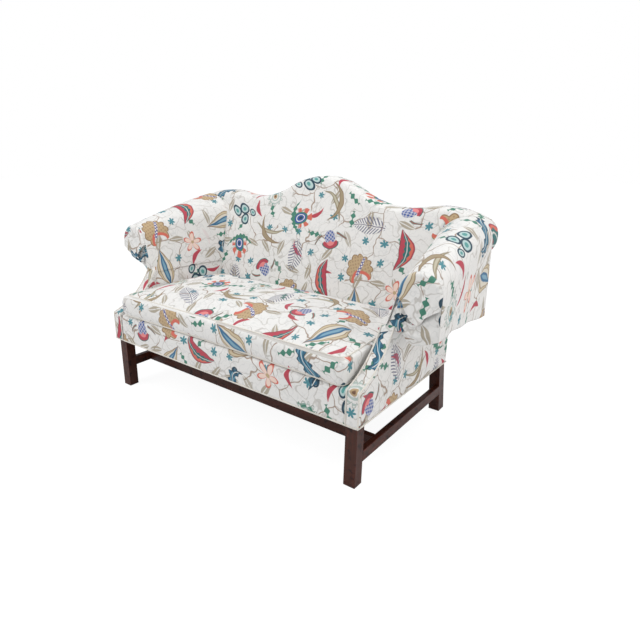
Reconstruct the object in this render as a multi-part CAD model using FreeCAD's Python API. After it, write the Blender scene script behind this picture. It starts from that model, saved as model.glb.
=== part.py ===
import FreeCAD
import Part

import math
import os

# A two-seat camelback sofa with rolled arms, a loose seat cushion and loose arm covers.
# Millimetres. X runs to the sitter's left hand, Y from the front to the back, Z up.
# While a piece is made, Y is measured from the front face of the front legs.
# The origin of the written pieces lies on the floor, under the middle of the sofa.

# Seat frame and legs
FRAME_WIDTH = 1224.0        # across the outer faces of the legs
FRAME_DEPTH = 660.0         # front of the front legs to the back of the back rail
LEG = 43.0                  # legs are square
LEG_RAKE = 42.0             # how far a back leg's foot stands behind its rail
BACK_FOOT = 48.0            # a back leg's depth on the floor
RAIL_BOTTOM = 220.0
RAIL_HEIGHT = 100.0
RAIL_THICK = 28.0
STRETCHER_BOTTOM = 80.0
STRETCHER_HEIGHT = 40.0
STRETCHER_THICK = 22.0
CROSS_STRETCHER_Y = 136.0   # front face of the stretcher between the two side stretchers
DOWEL_RADIUS = 5.0
DOWEL_LENGTH = 56.0
DOWEL_SPACING = 50.0
DOWEL_STAGGER = 12.0        # the side rails' dowels lie this much higher
BLOCK_SIZE = 75.0           # legs of a corner block's triangle
BLOCK_HEIGHT = 60.0
BLOCK_DROP = 8.0            # below the rails' top
SCREW_RADIUS = 2.2
SCREW_HEAD_RADIUS = 4.6
SCREW_LENGTH = 42.0
SCREW_HEAD = 3.5

# Back
BACK_RAKE = 7.5             # degrees that the posts lean back
BACK_LEAN = 15.3            # degrees that the padded inside of the back leans
BACK_SEAT_Y = 550.0         # the padded inside of the back, at the height SEAT_LINE
SEAT_LINE = 440.0
CREST_TOP = 906.0
DIP_HEIGHT = 802.0          # the low points each side of the hump
SHOULDER_HEIGHT = 820.0
DIP_RADIUS = 400.0
SHOULDER_RADIUS = 370.0
CREST_ROUND = 26.0          # how round the padded crest is in front
POST_THICK = 35.0
CREST_INSET = 16.0          # padding over the crest rail
CREST_RAIL_DEPTH = 74.0
UPRIGHT_X = 195.0           # middle of each upright between the posts
UPRIGHT_WIDTH = 50.0
TACK_RAIL_BOTTOM = 372.0
TACK_RAIL_HEIGHT = 48.0
STRAP_WIDTH = 60.0
STRAP_THICK = 1.6
STRAP_PLACES = (0.0, 110.0, 330.0, 460.0)   # upright straps, from the middle to each side
STRAP_HEIGHTS = (470.0, 580.0, 690.0)

# Arms
ARM_FRONT = 190.0           # front end of the rolled part
ARM_END = 645.0             # where the arms run into the back
ARM_INNER_FRONT = 570.0     # the padded inner face beside the cushion, in front
ARM_INNER_TAPER = 74.0      # how far that face has come in at the back corner
ARM_INNER_CURVE = 2.2       # it comes in with this power of the way back
ARM_INNER_KINK = 425.0      # height where the inner face starts to lean out
ROLL_FRONT_X = 697.0        # middle of the roll in front
ROLL_FRONT_TOP = 688.0
ROLL_FRONT_RADIUS = 66.0
ROLL_BACK_X = 665.0
ROLL_BACK_TOP = 797.0
ROLL_BACK_RADIUS = 75.0
ROLL_INNER_WIDEN = 58.0     # the roll's inner half grows by this towards the back
ROLL_BOW = 9.0              # the ridge bows up between its ends
THROAT_FRONT = 502.0        # where the outside panel meets the roll's underside
THROAT_BACK = 604.0
THROAT_X = 640.0            # the outside panel flares out to this
FLARE_START = 440.0         # and starts to flare at this height
ARM_STEPS = 5               # lengths that an arm's surface is drawn in
ARM_WALL = 30.0             # frame and outside panel together, at the throat
WING_FRONT_TOP = 345.0      # top of the front panel, where the sweep of the arm starts
WING_MID = (112.0, 410.0)   # a point halfway up the sweep
WING_TOP = (202.0, 532.0)
OUTSIDE_PAD = 6.0           # fabric and felt outside the frame
FRONT_PAD = 10.0
WING_INSET = 2.0
ARM_POST_DEPTH = 30.0
ARM_POST_SETBACK = 14.0     # behind the front end of the roll
ARM_HEAD_INSET = 14.0       # padding round the arm post's round head
ARM_RAIL_WIDTH = 62.0
ARM_RAIL_THICK = 26.0
ARM_TACK_BOTTOM = 366.0
ARM_TACK_HEIGHT = 44.0
FACING_INNER = 573.0        # inner edge of the front panel of the arm
FACING_LAP = 4.0            # how far it laps over the outside panel

# Fabric, welts and the seat deck
COVER = 2.0
COVER_GAP = 0.2             # between a cover and its padding
WELT_RADIUS = 2.6
WELT_CORNER = 8.0
WELT_GAP = 0.4              # to the fabric it is sewn to
FABRIC_BOTTOM = 223.0
DUST_COVER = 1.6
DECK_TOP = 342.0
DECK_CLOTH = 2.0
BURLAP = 1.6
SPRING_WIRE = 1.9
SPRINGS = 9
SPRING_EDGE = 140.0         # from the frame's side to the middle of the outermost spring
SPRING_LOOP = 20.0
SPRING_HALF_WIDTH = 24.0
SPRING_TAIL = 30.0          # shortest straight end in a clip
CLIP = (20.0, 16.0, 6.6)

# Loose seat cushion
CUSHION_NOSE = 18.0         # how far its front swells past the front legs
CUSHION_SEAM = 12.0         # how far its front seams stand past the front legs
CUSHION_LOW_SEAM = 348.0
CUSHION_HIGH_SEAM = 431.0
CUSHION_TOP = 466.0         # the crown's ring, over which it rises another 2
CUSHION_WRAP = 5.5          # the cover with its fibre wrap
CUSHION_REST = 0.4          # above the deck
CUSHION_GAP = 7.0           # to the arms
CUSHION_BACK_GAP = 7.0      # to the back, for the zipper's slider
CUSHION_CORNER = 24.0
CUSHION_PULL = 8.0          # its front pulls in by this between the corners
CUSHION_SIDE_PULL = 1.6
CUSHION_WAIST = 0.45        # how far along the arm its sides are measured
# The crown of its top: distances in from the seam, and shares of the rise
CUSHION_CROWN = ((0.0, 0.0), (32.0, 0.42), (84.0, 0.75), (150.0, 0.94), (215.0, 1.0))
ZIPPER_HALF = 410.0
ZIPPER_HEIGHT = 24.0
ZIPPER_RELIEF = 1.0
SLIDER_CLEARANCE = 0.3
SLIDER = (9.0, 11.0, 3.4)
SLIDER_TAB = 26.0

# Loose arm covers
SLEEVE_CLEARANCE = 1.0
SLEEVE_THICK = 1.8
SLEEVE_FRONT_GAP = 5.0      # from the roll's front end to the inside of the front flap
SLEEVE_BACK_GAP = 6.0
SLEEVE_INNER_EDGE = 486.0
SLEEVE_HEM_FRONT = 482.0
SLEEVE_HEM_BACK = 436.0
SLEEVE_FLAP_TIP = (692.0, 452.0)
SLEEVE_FLAP_INNER = (629.0, 508.0)
SLEEVE_FLARE = (0.0, 6.0, 2.0, 7.0, 4.0, 7.0)   # folds along the hem, outwards
SLEEVE_NOTCH = (7.0, 24.0, 26.0)   # kept clear of the facing's upper end, out, back and up
SLEEVE_BACK_CLEARANCE = 3.0 # to the front of the back

# Worked out from the sizes above
HALF = FRAME_WIDTH / 2
RAIL_TOP = RAIL_BOTTOM + RAIL_HEIGHT
OUTSIDE_X = HALF + OUTSIDE_PAD
WOOD_INNER = HALF - RAIL_THICK - WING_INSET
ROLL_BACK_Z = ROLL_BACK_TOP - ROLL_BACK_RADIUS
CUSHION_HALF = ARM_INNER_FRONT - CUSHION_GAP
BACK_REACH = FRAME_DEPTH + (CREST_TOP - RAIL_TOP) * math.tan(math.radians(BACK_RAKE)) + COVER
FRONT_Y = -(BACK_REACH - CUSHION_NOSE) / 2
FLAT = FreeCAD.Vector(0, 0, 0)


def point(x, y, z):
    return FreeCAD.Vector(x, y, z)


def box(x0, x1, y0, y1, z0, z1):
    return Part.makeBox(x1 - x0, y1 - y0, z1 - z0, point(x0, y0, z0))


def line(a, b):
    return Part.makeLine(a, b)


def arc(a, middle, b):
    return Part.Arc(a, middle, b).toShape()


def rod(radius, start, end):
    along = end - start
    return Part.makeCylinder(radius, along.Length, start, along)


def prism(edges, along):
    """The solid that a closed flat outline sweeps along a vector."""
    return Part.Face(Part.Wire(edges)).extrude(along)


def outline(points):
    """Straight edges through the points and back to the first."""
    return [line(a, b) for a, b in zip(points, points[1:] + points[:1])]


def tube(edges, radius):
    """A round cord along joined edges."""
    path = Part.Wire(edges)
    first = path.OrderedEdges[0]
    start = first.valueAt(first.FirstParameter)
    heading = first.tangentAt(first.FirstParameter)
    if (start - path.OrderedVertexes[0].Point).Length > radius:
        start = first.valueAt(first.LastParameter)
        heading = first.tangentAt(first.LastParameter)
    ring = Part.Wire(Part.makeCircle(radius, start, heading))
    return path.makePipeShell([ring], True, False)


def mirrored(shape):
    return shape.mirror(FLAT, point(1, 0, 0))


def joined(shapes):
    whole = shapes[0].copy()
    for shape in shapes[1:]:
        whole = whole.fuse(shape)
    return whole.removeSplitter()


def cut(shape, tools):
    for tool in tools:
        shape = shape.cut(tool)
    return shape


def write(node, shape):
    """One node's file, moved to the sofa's own frame."""
    placed = shape.copy()
    placed.translate(point(0, FRONT_Y, 0))
    placed.exportStep("parts/" + node + ".step")


def write_pair(node, shape):
    """A piece on the +X side and its mirror image."""
    write(node + "_left", shape)
    write(node + "_right", mirrored(shape))


# Legs, rails and stretchers

def front_leg():
    return box(HALF - LEG, HALF, 0, LEG, 0, RAIL_TOP)


def back_leg():
    """Upright beside the rails and raked below them."""
    x = HALF - LEG
    back = FRAME_DEPTH
    profile = [
        point(x, back - LEG, RAIL_TOP),
        point(x, back, RAIL_TOP),
        point(x, back, RAIL_BOTTOM),
        point(x, back + LEG_RAKE, 0),
        point(x, back + LEG_RAKE - BACK_FOOT, 0),
        point(x, back - LEG, RAIL_BOTTOM),
    ]
    return prism(outline(profile), point(LEG, 0, 0))


def front_rail():
    return box(LEG - HALF, HALF - LEG, 0, RAIL_THICK, RAIL_BOTTOM, RAIL_TOP)


def back_rail():
    return box(LEG - HALF, HALF - LEG, FRAME_DEPTH - RAIL_THICK, FRAME_DEPTH, RAIL_BOTTOM, RAIL_TOP)


def side_rail():
    return box(HALF - RAIL_THICK, HALF, LEG, FRAME_DEPTH - LEG, RAIL_BOTTOM, RAIL_TOP)


def side_stretcher():
    """Between a front leg and a raked back leg, flush with their outer faces."""
    top = STRETCHER_BOTTOM + STRETCHER_HEIGHT

    def leg_front(z):
        foot = FRAME_DEPTH + LEG_RAKE - BACK_FOOT
        return foot + (FRAME_DEPTH - LEG - foot) * z / RAIL_BOTTOM

    x = HALF - STRETCHER_THICK
    profile = [
        point(x, LEG, STRETCHER_BOTTOM),
        point(x, leg_front(STRETCHER_BOTTOM), STRETCHER_BOTTOM),
        point(x, leg_front(top), top),
        point(x, LEG, top),
    ]
    return prism(outline(profile), point(STRETCHER_THICK, 0, 0))


def cross_stretcher():
    inner = HALF - STRETCHER_THICK
    top = STRETCHER_BOTTOM + STRETCHER_HEIGHT
    return box(-inner, inner, CROSS_STRETCHER_Y, CROSS_STRETCHER_Y + STRETCHER_THICK, STRETCHER_BOTTOM, top)


def frame_dowels():
    """Two in each joint between a rail and a leg, on the +X side."""
    dowels = []
    middle = RAIL_BOTTOM + RAIL_HEIGHT / 2
    reach = DOWEL_LENGTH / 2
    for z in (middle - DOWEL_SPACING / 2, middle + DOWEL_SPACING / 2):
        for y in (RAIL_THICK / 2, FRAME_DEPTH - RAIL_THICK / 2):
            joint = HALF - LEG
            dowels.append(rod(DOWEL_RADIUS, point(joint - reach, y, z), point(joint + reach, y, z)))
        above = z + DOWEL_STAGGER
        for y in (LEG, FRAME_DEPTH - LEG):
            x = HALF - RAIL_THICK / 2
            dowels.append(rod(DOWEL_RADIUS, point(x, y - reach, above), point(x, y + reach, above)))
    return dowels


def corner_block(y, inward):
    """A glued and screwed triangular block inside a corner of the rails."""
    x = HALF - LEG
    z = RAIL_TOP - BLOCK_DROP - BLOCK_HEIGHT
    corner = point(x, y, z)
    triangle = [corner, point(x - BLOCK_SIZE, y, z), point(x, y + inward * BLOCK_SIZE, z)]
    return prism(outline(triangle), point(0, 0, BLOCK_HEIGHT))


def block_screw(y, inward, z):
    """One screw through a block into the rail that runs across the sofa."""
    x = HALF - LEG - BLOCK_SIZE / 3
    depth = BLOCK_SIZE * 2 / 3
    head = point(x, y + inward * depth, z)
    tip = point(x, y + inward * (depth - SCREW_LENGTH), z)
    toward = tip - head
    cone = Part.makeCone(SCREW_HEAD_RADIUS, SCREW_RADIUS, SCREW_HEAD, head, toward)
    return joined([rod(SCREW_RADIUS, head, tip), cone])


# Back frame and outline

def raked(shape):
    """Turns a piece made upright behind the back rail to the posts' rake."""
    turned = shape.copy()
    turned.rotate(point(0, FRAME_DEPTH, RAIL_TOP), point(1, 0, 0), -BACK_RAKE)
    return turned


def along_rake(z):
    """Length up the rake that reaches a height above the floor."""
    return RAIL_TOP + (z - RAIL_TOP) / math.cos(math.radians(BACK_RAKE))


def on_circle(centre, radius, degrees, y=FRAME_DEPTH):
    angle = math.radians(degrees)
    return point(centre[0] + radius * math.cos(angle), y, centre[1] + radius * math.sin(angle))


def circle_arc(centre, radius, start, end, y=FRAME_DEPTH):
    return arc(
        on_circle(centre, radius, start, y),
        on_circle(centre, radius, (start + end) / 2, y),
        on_circle(centre, radius, end, y),
    )


def tangent_degrees(centre, radius, x, z, side):
    """Where a line from a point touches a circle; side is +1 or -1."""
    dx, dz = x - centre[0], z - centre[1]
    spread = math.acos(radius / math.hypot(dx, dz))
    return math.degrees(math.atan2(dz, dx) + side * spread)


def crest_edges(inset):
    """The camel outline from the -X roll over the hump to the +X roll, drawn in by inset."""
    roll = (ROLL_BACK_X, along_rake(ROLL_BACK_Z))
    crest, dip, shoulder = (along_rake(z) for z in (CREST_TOP, DIP_HEIGHT, SHOULDER_HEIGHT))
    roll_top = roll[1] + ROLL_BACK_RADIUS
    # The shoulder's arc lies round the roll's circle and beside the dip's
    over_roll = SHOULDER_RADIUS - ROLL_BACK_RADIUS
    shoulder_x = ROLL_BACK_X - math.sqrt(over_roll ** 2 - (over_roll - (shoulder - roll_top)) ** 2)
    beside = SHOULDER_RADIUS + DIP_RADIUS
    dip_x = shoulder_x - math.sqrt(beside ** 2 - (beside - (shoulder - dip)) ** 2)
    # The hump's arc meets the dip's where both have the same slope
    turn = 2 * math.atan((crest - dip) / dip_x)
    hump_radius = dip_x / math.sin(turn) - DIP_RADIUS
    turn_degrees = math.degrees(turn)
    hump = (0, crest - hump_radius)
    valley = (dip_x, dip + DIP_RADIUS)
    bulge = (shoulder_x, shoulder - SHOULDER_RADIUS)
    meet = math.degrees(math.atan2(valley[1] - bulge[1], valley[0] - bulge[0]))
    leave = math.degrees(math.atan2(roll[1] - bulge[1], roll[0] - bulge[0]))
    throat = along_rake(THROAT_BACK)
    low = tangent_degrees(roll, ROLL_BACK_RADIUS - inset, THROAT_X, throat, 1)
    right = [
        circle_arc(hump, hump_radius - inset, 90, 90 - turn_degrees),
        circle_arc(valley, DIP_RADIUS + inset, 270 - turn_degrees, 180 + meet),
        circle_arc(bulge, SHOULDER_RADIUS - inset, meet, leave),
        circle_arc(roll, ROLL_BACK_RADIUS - inset, leave, low),
    ]
    left = [mirrored(edge) for edge in reversed(right)]
    return left + right


def back_outline(inset, bottom, half):
    """The whole outline of the back: the crest, the rolls' undersides and the flared sides."""
    crest = crest_edges(inset)
    y = FRAME_DEPTH
    corners = [
        right_end(crest),
        point(THROAT_X, y, along_rake(THROAT_BACK)),
        point(half, y, along_rake(FLARE_START)),
        point(half, y, bottom),
    ]
    corners += [point(-p.x, y, p.z) for p in reversed(corners)]
    return crest + [line(a, b) for a, b in zip(corners, corners[1:])]


def right_end(crest):
    """The +X end of the crest's outline, under the roll."""
    return min(crest[-1].Vertexes, key=lambda vertex: vertex.Point.z).Point


def inside_back_y(z):
    return BACK_SEAT_Y + (z - SEAT_LINE) * math.tan(math.radians(BACK_LEAN))


def back_volume(inset):
    """Everything between the leaning inside of the back and its outside face."""
    depth = FRAME_DEPTH / 2
    profile = [raked(edge) for edge in back_outline(inset, DECK_TOP - 2 * COVER, HALF)]
    slab = prism(profile, point(0, -depth, 0))
    low, high = DECK_TOP, CREST_TOP + CREST_ROUND
    front = inset / math.cos(math.radians(BACK_LEAN))
    wide = OUTSIDE_X * 2
    wedge = [
        point(-wide, inside_back_y(low) + front, low),
        point(-wide, inside_back_y(high) + front, high),
        point(-wide, FRAME_DEPTH + 2 * depth, high),
        point(-wide, FRAME_DEPTH + 2 * depth, low),
    ]
    solid = slab.common(prism(outline(wedge), point(2 * wide, 0, 0)))
    solid = rounded_crest(solid, CREST_ROUND - inset)
    # The rolls end on the back, so nothing of it stands in front of their ends
    ahead = box(HALF - POST_THICK / 3, wide, 0, ARM_END, 0, high)
    return cut(solid, [ahead, mirrored(ahead)])


def rounded_crest(solid, radius):
    """Rounds the front edge of the crest over the hump, dips and shoulders."""
    rim = []
    for edge in solid.Edges:
        middle = edge.valueAt((edge.FirstParameter + edge.LastParameter) / 2)
        front = abs(middle.y - inside_back_y(middle.z)) < COVER * 3
        if front and middle.z > (ROLL_BACK_Z + DIP_HEIGHT) / 2 and abs(middle.x) < ROLL_BACK_X + radius:
            rim.append(edge)
    return solid.makeFillet(radius, rim)


def crest_rail():
    """The shaped top rail, which ends in the blocks behind the rolls."""
    inset = CREST_INSET
    top = crest_edges(inset)
    roll_z = along_rake(ROLL_BACK_Z)
    bottom = along_rake(DIP_HEIGHT) - CREST_RAIL_DEPTH
    y = FRAME_DEPTH
    corners = [
        right_end(top),
        point(ROLL_BACK_X - ROLL_BACK_RADIUS / 2, y, roll_z - ROLL_BACK_RADIUS + inset),
        point(HALF - LEG, y, bottom),
    ]
    corners += [point(-p.x, y, p.z) for p in reversed(corners)]
    under = [line(a, b) for a, b in zip(corners, corners[1:])]
    return raked(prism(top + under, point(0, -POST_THICK, 0)))


def back_post(crest):
    """Stands on the back leg and leans back to the crest rail."""
    y = FRAME_DEPTH
    top = along_rake(DIP_HEIGHT) - CREST_RAIL_DEPTH / 2
    post = raked(box(HALF - LEG, HALF, y - POST_THICK, y, RAIL_BOTTOM, top))
    above_leg = box(0, 2 * HALF, 0, 2 * y, RAIL_TOP, 2 * CREST_TOP)
    return post.common(above_leg).cut(crest)


def back_tack_rail():
    y = FRAME_DEPTH
    top = TACK_RAIL_BOTTOM + TACK_RAIL_HEIGHT
    front = y - POST_THICK
    return raked(box(LEG - HALF, HALF - LEG, front, front + RAIL_THICK, TACK_RAIL_BOTTOM, top))


def back_upright(crest):
    y = FRAME_DEPTH
    low = TACK_RAIL_BOTTOM + TACK_RAIL_HEIGHT
    top = along_rake(DIP_HEIGHT) - CREST_RAIL_DEPTH / 2
    x0, x1 = UPRIGHT_X - UPRIGHT_WIDTH / 2, UPRIGHT_X + UPRIGHT_WIDTH / 2
    return raked(box(x0, x1, y - POST_THICK, y - POST_THICK + RAIL_THICK, low, top)).cut(crest)


def back_webbing():
    """Woven straps over the inner side of the back frame, up and across."""
    y = FRAME_DEPTH - POST_THICK
    straps = []
    half = STRAP_WIDTH / 2
    span = HALF - LEG / 2
    top = along_rake(DIP_HEIGHT) - CREST_RAIL_DEPTH / 2
    for place in STRAP_PLACES:
        for x in {place, -place}:
            straps.append(box(x - half, x + half, y - STRAP_THICK, y, TACK_RAIL_BOTTOM, top))
    for z in STRAP_HEIGHTS:
        straps.append(box(-span, span, y - 2 * STRAP_THICK, y - STRAP_THICK, z - half, z + half))
        straps.append(box(-span, -span + LEG / 2, y - STRAP_THICK, y, z - half, z + half))
        straps.append(box(span - LEG / 2, span, y - STRAP_THICK, y, z - half, z + half))
    return raked(joined(straps))


# Arms: cross sections at a distance y behind the front legs

def arm_share(y):
    return (y - ARM_FRONT) / (ARM_END - ARM_FRONT)


def roll_size(y):
    """Middle, top, radius and inner radius of the roll."""
    share = arm_share(y)
    x = ROLL_FRONT_X + share * (ROLL_BACK_X - ROLL_FRONT_X)
    top = ROLL_FRONT_TOP + share * (ROLL_BACK_TOP - ROLL_FRONT_TOP) + ROLL_BOW * 4 * share * (1 - share)
    radius = ROLL_FRONT_RADIUS + share * (ROLL_BACK_RADIUS - ROLL_FRONT_RADIUS)
    return x, top, radius, radius + ROLL_INNER_WIDEN * share ** 2


def inner_face(y):
    """The arm's inner face curves in towards the corner with the back."""
    return ARM_INNER_FRONT - ARM_INNER_TAPER * max(0.0, arm_share(y)) ** ARM_INNER_CURVE


def throat(y):
    return THROAT_FRONT + arm_share(y) * (THROAT_BACK - THROAT_FRONT)


def arm_path(y, proud):
    """Corner and tangent points of the padded arm's surface, from the seat over the roll."""
    share_y = max(y, ARM_FRONT)
    x, top, radius, inner = roll_size(share_y)
    outer_circle = ((x, top - radius), radius + proud)
    inner_circle = ((x, top - inner), inner + proud)
    face = inner_face(share_y) - proud
    start = tangent_degrees(inner_circle[0], inner_circle[1], face, ARM_INNER_KINK, -1) % 360
    end = tangent_degrees(outer_circle[0], outer_circle[1], THROAT_X, throat(share_y) - proud, 1)
    return face, inner_circle, start, outer_circle, end


def arm_edges(y, proud):
    """The same path as edges: face, lean, inner arc, outer arc, underside."""
    face, inner_circle, start, outer_circle, end = arm_path(y, proud)
    low = point(face, y, DECK_TOP)
    kink = point(face, y, ARM_INNER_KINK)
    touch = on_circle(*inner_circle, start, y)
    leave = on_circle(*outer_circle, end, y)
    under = point(THROAT_X, y, throat(max(y, ARM_FRONT)) - proud)
    return [
        line(low, kink),
        line(kink, touch),
        circle_arc(*inner_circle, start, 90, y),
        circle_arc(*outer_circle, 90, end, y),
        line(leave, under),
    ]


def arm_stations():
    return [ARM_FRONT + (ARM_END - ARM_FRONT) * k / ARM_STEPS for k in range(ARM_STEPS + 1)]


def arm_section(y, proud):
    """A closed section of the padding between the cover and the wooden frame."""
    edges = arm_edges(y, proud)
    under = point(THROAT_X, y, throat(y) - proud)
    corners = [
        under,
        point(THROAT_X - ARM_WALL, y, under.z),
        point(WOOD_INNER, y, FLARE_START),
        point(WOOD_INNER, y, DECK_TOP),
        point(inner_face(y) - proud, y, DECK_TOP),
    ]
    return Part.Wire(edges + [line(a, b) for a, b in zip(corners, corners[1:])])


def skin_section(y, outside, inside):
    """A closed section of the cover that lies over the padded arm."""
    outer = arm_edges(y, outside)
    inner = arm_edges(y, inside)
    low = line(point(inner_face(y) - inside, y, DECK_TOP), point(inner_face(y) - outside, y, DECK_TOP))
    high = line(point(THROAT_X, y, throat(y) - outside), point(THROAT_X, y, throat(y) - inside))
    return Part.Wire(Part.sortEdges(outer + [high] + inner + [low])[0])


def sweep_edges(x, setback):
    """The front of the arm's base: up the front, then the sweep back to the roll."""
    foot = point(x, setback - FRONT_PAD, FABRIC_BOTTOM)
    corner = point(x, setback - FRONT_PAD, WING_FRONT_TOP - setback)
    slant = setback * math.sqrt(0.5)
    middle = point(x, WING_MID[0] + slant, WING_MID[1] - slant)
    end = point(x, WING_TOP[0] + setback, WING_TOP[1] - setback / 3)
    return [line(foot, corner), arc(corner, middle, end)]


def below_sweep(x0, x1, setback, y_back, bottom):
    """What lies behind the front of the arm's base, between two planes across X."""
    corner = point(x0, setback - FRONT_PAD, WING_FRONT_TOP - setback)
    end = point(x0, WING_TOP[0] + setback, WING_TOP[1] - setback / 3)
    edges = [
        line(point(x0, corner.y, bottom), corner),
        sweep_edges(x0, setback)[1],
        line(end, point(x0, y_back, end.z)),
        line(point(x0, y_back, end.z), point(x0, y_back, bottom)),
        line(point(x0, y_back, bottom), point(x0, corner.y, bottom)),
    ]
    return prism(edges, point(x1 - x0, 0, 0))


def arm_wing():
    """The shaped board between the arm's post and the front leg."""
    post_front = ARM_FRONT + ARM_POST_SETBACK
    board = below_sweep(WOOD_INNER + WING_INSET, HALF, FRONT_PAD, post_front + FRONT_PAD, RAIL_TOP)
    return board.common(box(0, 2 * HALF, 0, post_front, RAIL_TOP, CREST_TOP))


def arm_post():
    """The upright at the front of the roll, which leans out to its round head."""
    y0 = ARM_FRONT + ARM_POST_SETBACK
    x, top, radius, _ = roll_size(y0)
    middle = top - radius
    neck = throat(y0) - ARM_HEAD_INSET / 2
    outer = THROAT_X - OUTSIDE_PAD - WING_INSET
    profile = [
        point(HALF - RAIL_THICK, y0, RAIL_TOP),
        point(HALF, y0, RAIL_TOP),
        point(HALF, y0, FLARE_START),
        point(outer, y0, neck),
        point(x, y0, middle - radius / 2),
        point(x - radius / 2, y0, middle),
        point(outer - RAIL_THICK, y0, neck),
        point(HALF - RAIL_THICK, y0, FLARE_START),
    ]
    stem = prism(outline(profile), point(0, ARM_POST_DEPTH, 0))
    head = Part.makeCylinder(radius - ARM_HEAD_INSET, ARM_POST_DEPTH, point(x, y0, middle), point(0, 1, 0))
    return joined([stem, head])


def arm_top_rail():
    """Runs inside the roll from the arm's post to the back."""
    half = ARM_RAIL_WIDTH / 2

    def end(y):
        x, top, radius, _ = roll_size(y)
        low = top - radius
        corners = [
            point(x - half, y, low), point(x + half, y, low),
            point(x + half, y, low + ARM_RAIL_THICK), point(x - half, y, low + ARM_RAIL_THICK),
        ]
        return Part.Wire(outline(corners))

    y0 = ARM_FRONT + ARM_POST_SETBACK + ARM_POST_DEPTH
    return Part.makeLoft([end(y0), end(FRAME_DEPTH + POST_THICK)], True, True)


def arm_tack_rail():
    y0 = ARM_FRONT + ARM_POST_SETBACK + ARM_POST_DEPTH
    return box(HALF - RAIL_THICK, HALF, y0, FRAME_DEPTH, ARM_TACK_BOTTOM, ARM_TACK_BOTTOM + ARM_TACK_HEIGHT)


def arm_padding(wood):
    loft = Part.makeLoft([arm_section(y, -COVER) for y in arm_stations()], True, False)
    beside = below_sweep(ARM_INNER_FRONT + COVER, WOOD_INNER, FRONT_PAD, ARM_FRONT, DECK_TOP)
    beside = beside.common(box(0, 2 * HALF, -FRONT_PAD, ARM_FRONT, DECK_TOP, CREST_TOP))
    return cut(joined([loft, beside]), wood)


def inside_arm_cover(wood):
    thick = COVER - COVER_GAP
    loft = Part.makeLoft([skin_section(y, 0, -thick) for y in arm_stations()], True, False)
    beside = below_sweep(ARM_INNER_FRONT, ARM_INNER_FRONT + thick, thick, ARM_FRONT + FRONT_PAD, DECK_TOP)
    beside = beside.common(box(0, 2 * HALF, -FRONT_PAD, ARM_FRONT, DECK_TOP, CREST_TOP))
    return cut(joined([loft, beside]), wood)


def outside_arm_cover():
    """The panel outside the arm, which flares out under the roll."""
    def section(y):
        high = throat(y) - COVER
        corners = [
            point(HALF, y, FABRIC_BOTTOM), point(OUTSIDE_X, y, FABRIC_BOTTOM),
            point(OUTSIDE_X, y, FLARE_START), point(THROAT_X, y, high),
            point(THROAT_X - OUTSIDE_PAD, y, high), point(HALF, y, FLARE_START),
        ]
        return Part.Wire(outline(corners))

    panel = Part.makeLoft([section(ARM_FRONT), section(FRAME_DEPTH)], True, True)
    front = below_sweep(HALF, OUTSIDE_X, FRONT_PAD, WING_TOP[0] + 2 * FRONT_PAD, FABRIC_BOTTOM)
    front = front.common(box(0, 2 * HALF, -FRONT_PAD, ARM_FRONT, FABRIC_BOTTOM, CREST_TOP))
    return joined([front, panel])


def arm_facing():
    """The padded strip down the front edge of the arm and the seat's corner."""
    x0, x1 = FACING_INNER, OUTSIDE_X + FACING_LAP
    whole = below_sweep(x0, x1, 0, WING_TOP[0] + 2 * FRONT_PAD, FABRIC_BOTTOM)
    inner = below_sweep(x0, x1, FRONT_PAD, WING_TOP[0] + 3 * FRONT_PAD, FABRIC_BOTTOM - 1)
    strip = whole.cut(inner)
    return strip.common(box(0, 2 * HALF, -FRONT_PAD, ARM_FRONT - COVER, FABRIC_BOTTOM, CREST_TOP))


def scroll_panel():
    """The flat piece that closes the front end of the roll."""
    y = ARM_FRONT
    under = point(THROAT_X, y, throat(y))
    edges = arm_edges(y, 0)[1:]
    kink = point(ARM_INNER_FRONT, y, ARM_INNER_KINK)
    corners = [under, point(OUTSIDE_X, y, FLARE_START), point(OUTSIDE_X, y, ARM_INNER_KINK), kink]
    face = prism(edges + [line(a, b) for a, b in zip(corners, corners[1:])], point(0, -COVER, 0))
    return face.cut(box(0, OUTSIDE_X + FACING_LAP, 0, ARM_FRONT, 0, WING_TOP[1] - FRONT_PAD))


def facing_welts():
    """Cords that lie on both edges of the facing."""
    outer = OUTSIDE_X + FACING_LAP - WELT_RADIUS
    ahead = box(0, 2 * HALF, -2 * FRONT_PAD, ARM_FRONT - COVER, 0, CREST_TOP)
    return [tube(sweep_edges(x, -WELT_RADIUS), WELT_RADIUS).common(ahead) for x in (FACING_INNER, outer)]


# Seat

def band_nose(radius, felt, top):
    """Quarter round over the front edge of the seat, about one middle for felt and fabric."""
    centre = point(0, felt, top - 2 * felt)
    diagonal = radius * math.sqrt(0.5)
    return arc(
        point(0, centre.y - radius, centre.z),
        point(0, centre.y - diagonal, centre.z + diagonal),
        point(0, centre.y, centre.z + radius),
    )


def across_front(edges):
    """Sweeps an upright outline across the seat, from one facing to the other."""
    half = FACING_INNER - COVER
    band = prism(edges, point(2 * half, 0, 0))
    band.translate(point(-half, 0, 0))
    return band


def front_band_pad():
    """Felt over the front rail, rounded at the top under the cushion."""
    top = DECK_TOP - COVER
    felt = FRONT_PAD - COVER
    return across_front([
        line(point(0, 0, FABRIC_BOTTOM), point(0, 0, RAIL_TOP)),
        line(point(0, 0, RAIL_TOP), point(0, RAIL_THICK, RAIL_TOP)),
        line(point(0, RAIL_THICK, RAIL_TOP), point(0, RAIL_THICK, top)),
        line(point(0, RAIL_THICK, top), point(0, felt, top)),
        band_nose(2 * felt, felt, top),
        line(point(0, -felt, top - 2 * felt), point(0, -felt, FABRIC_BOTTOM)),
        line(point(0, -felt, FABRIC_BOTTOM), point(0, 0, FABRIC_BOTTOM)),
    ])


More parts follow.
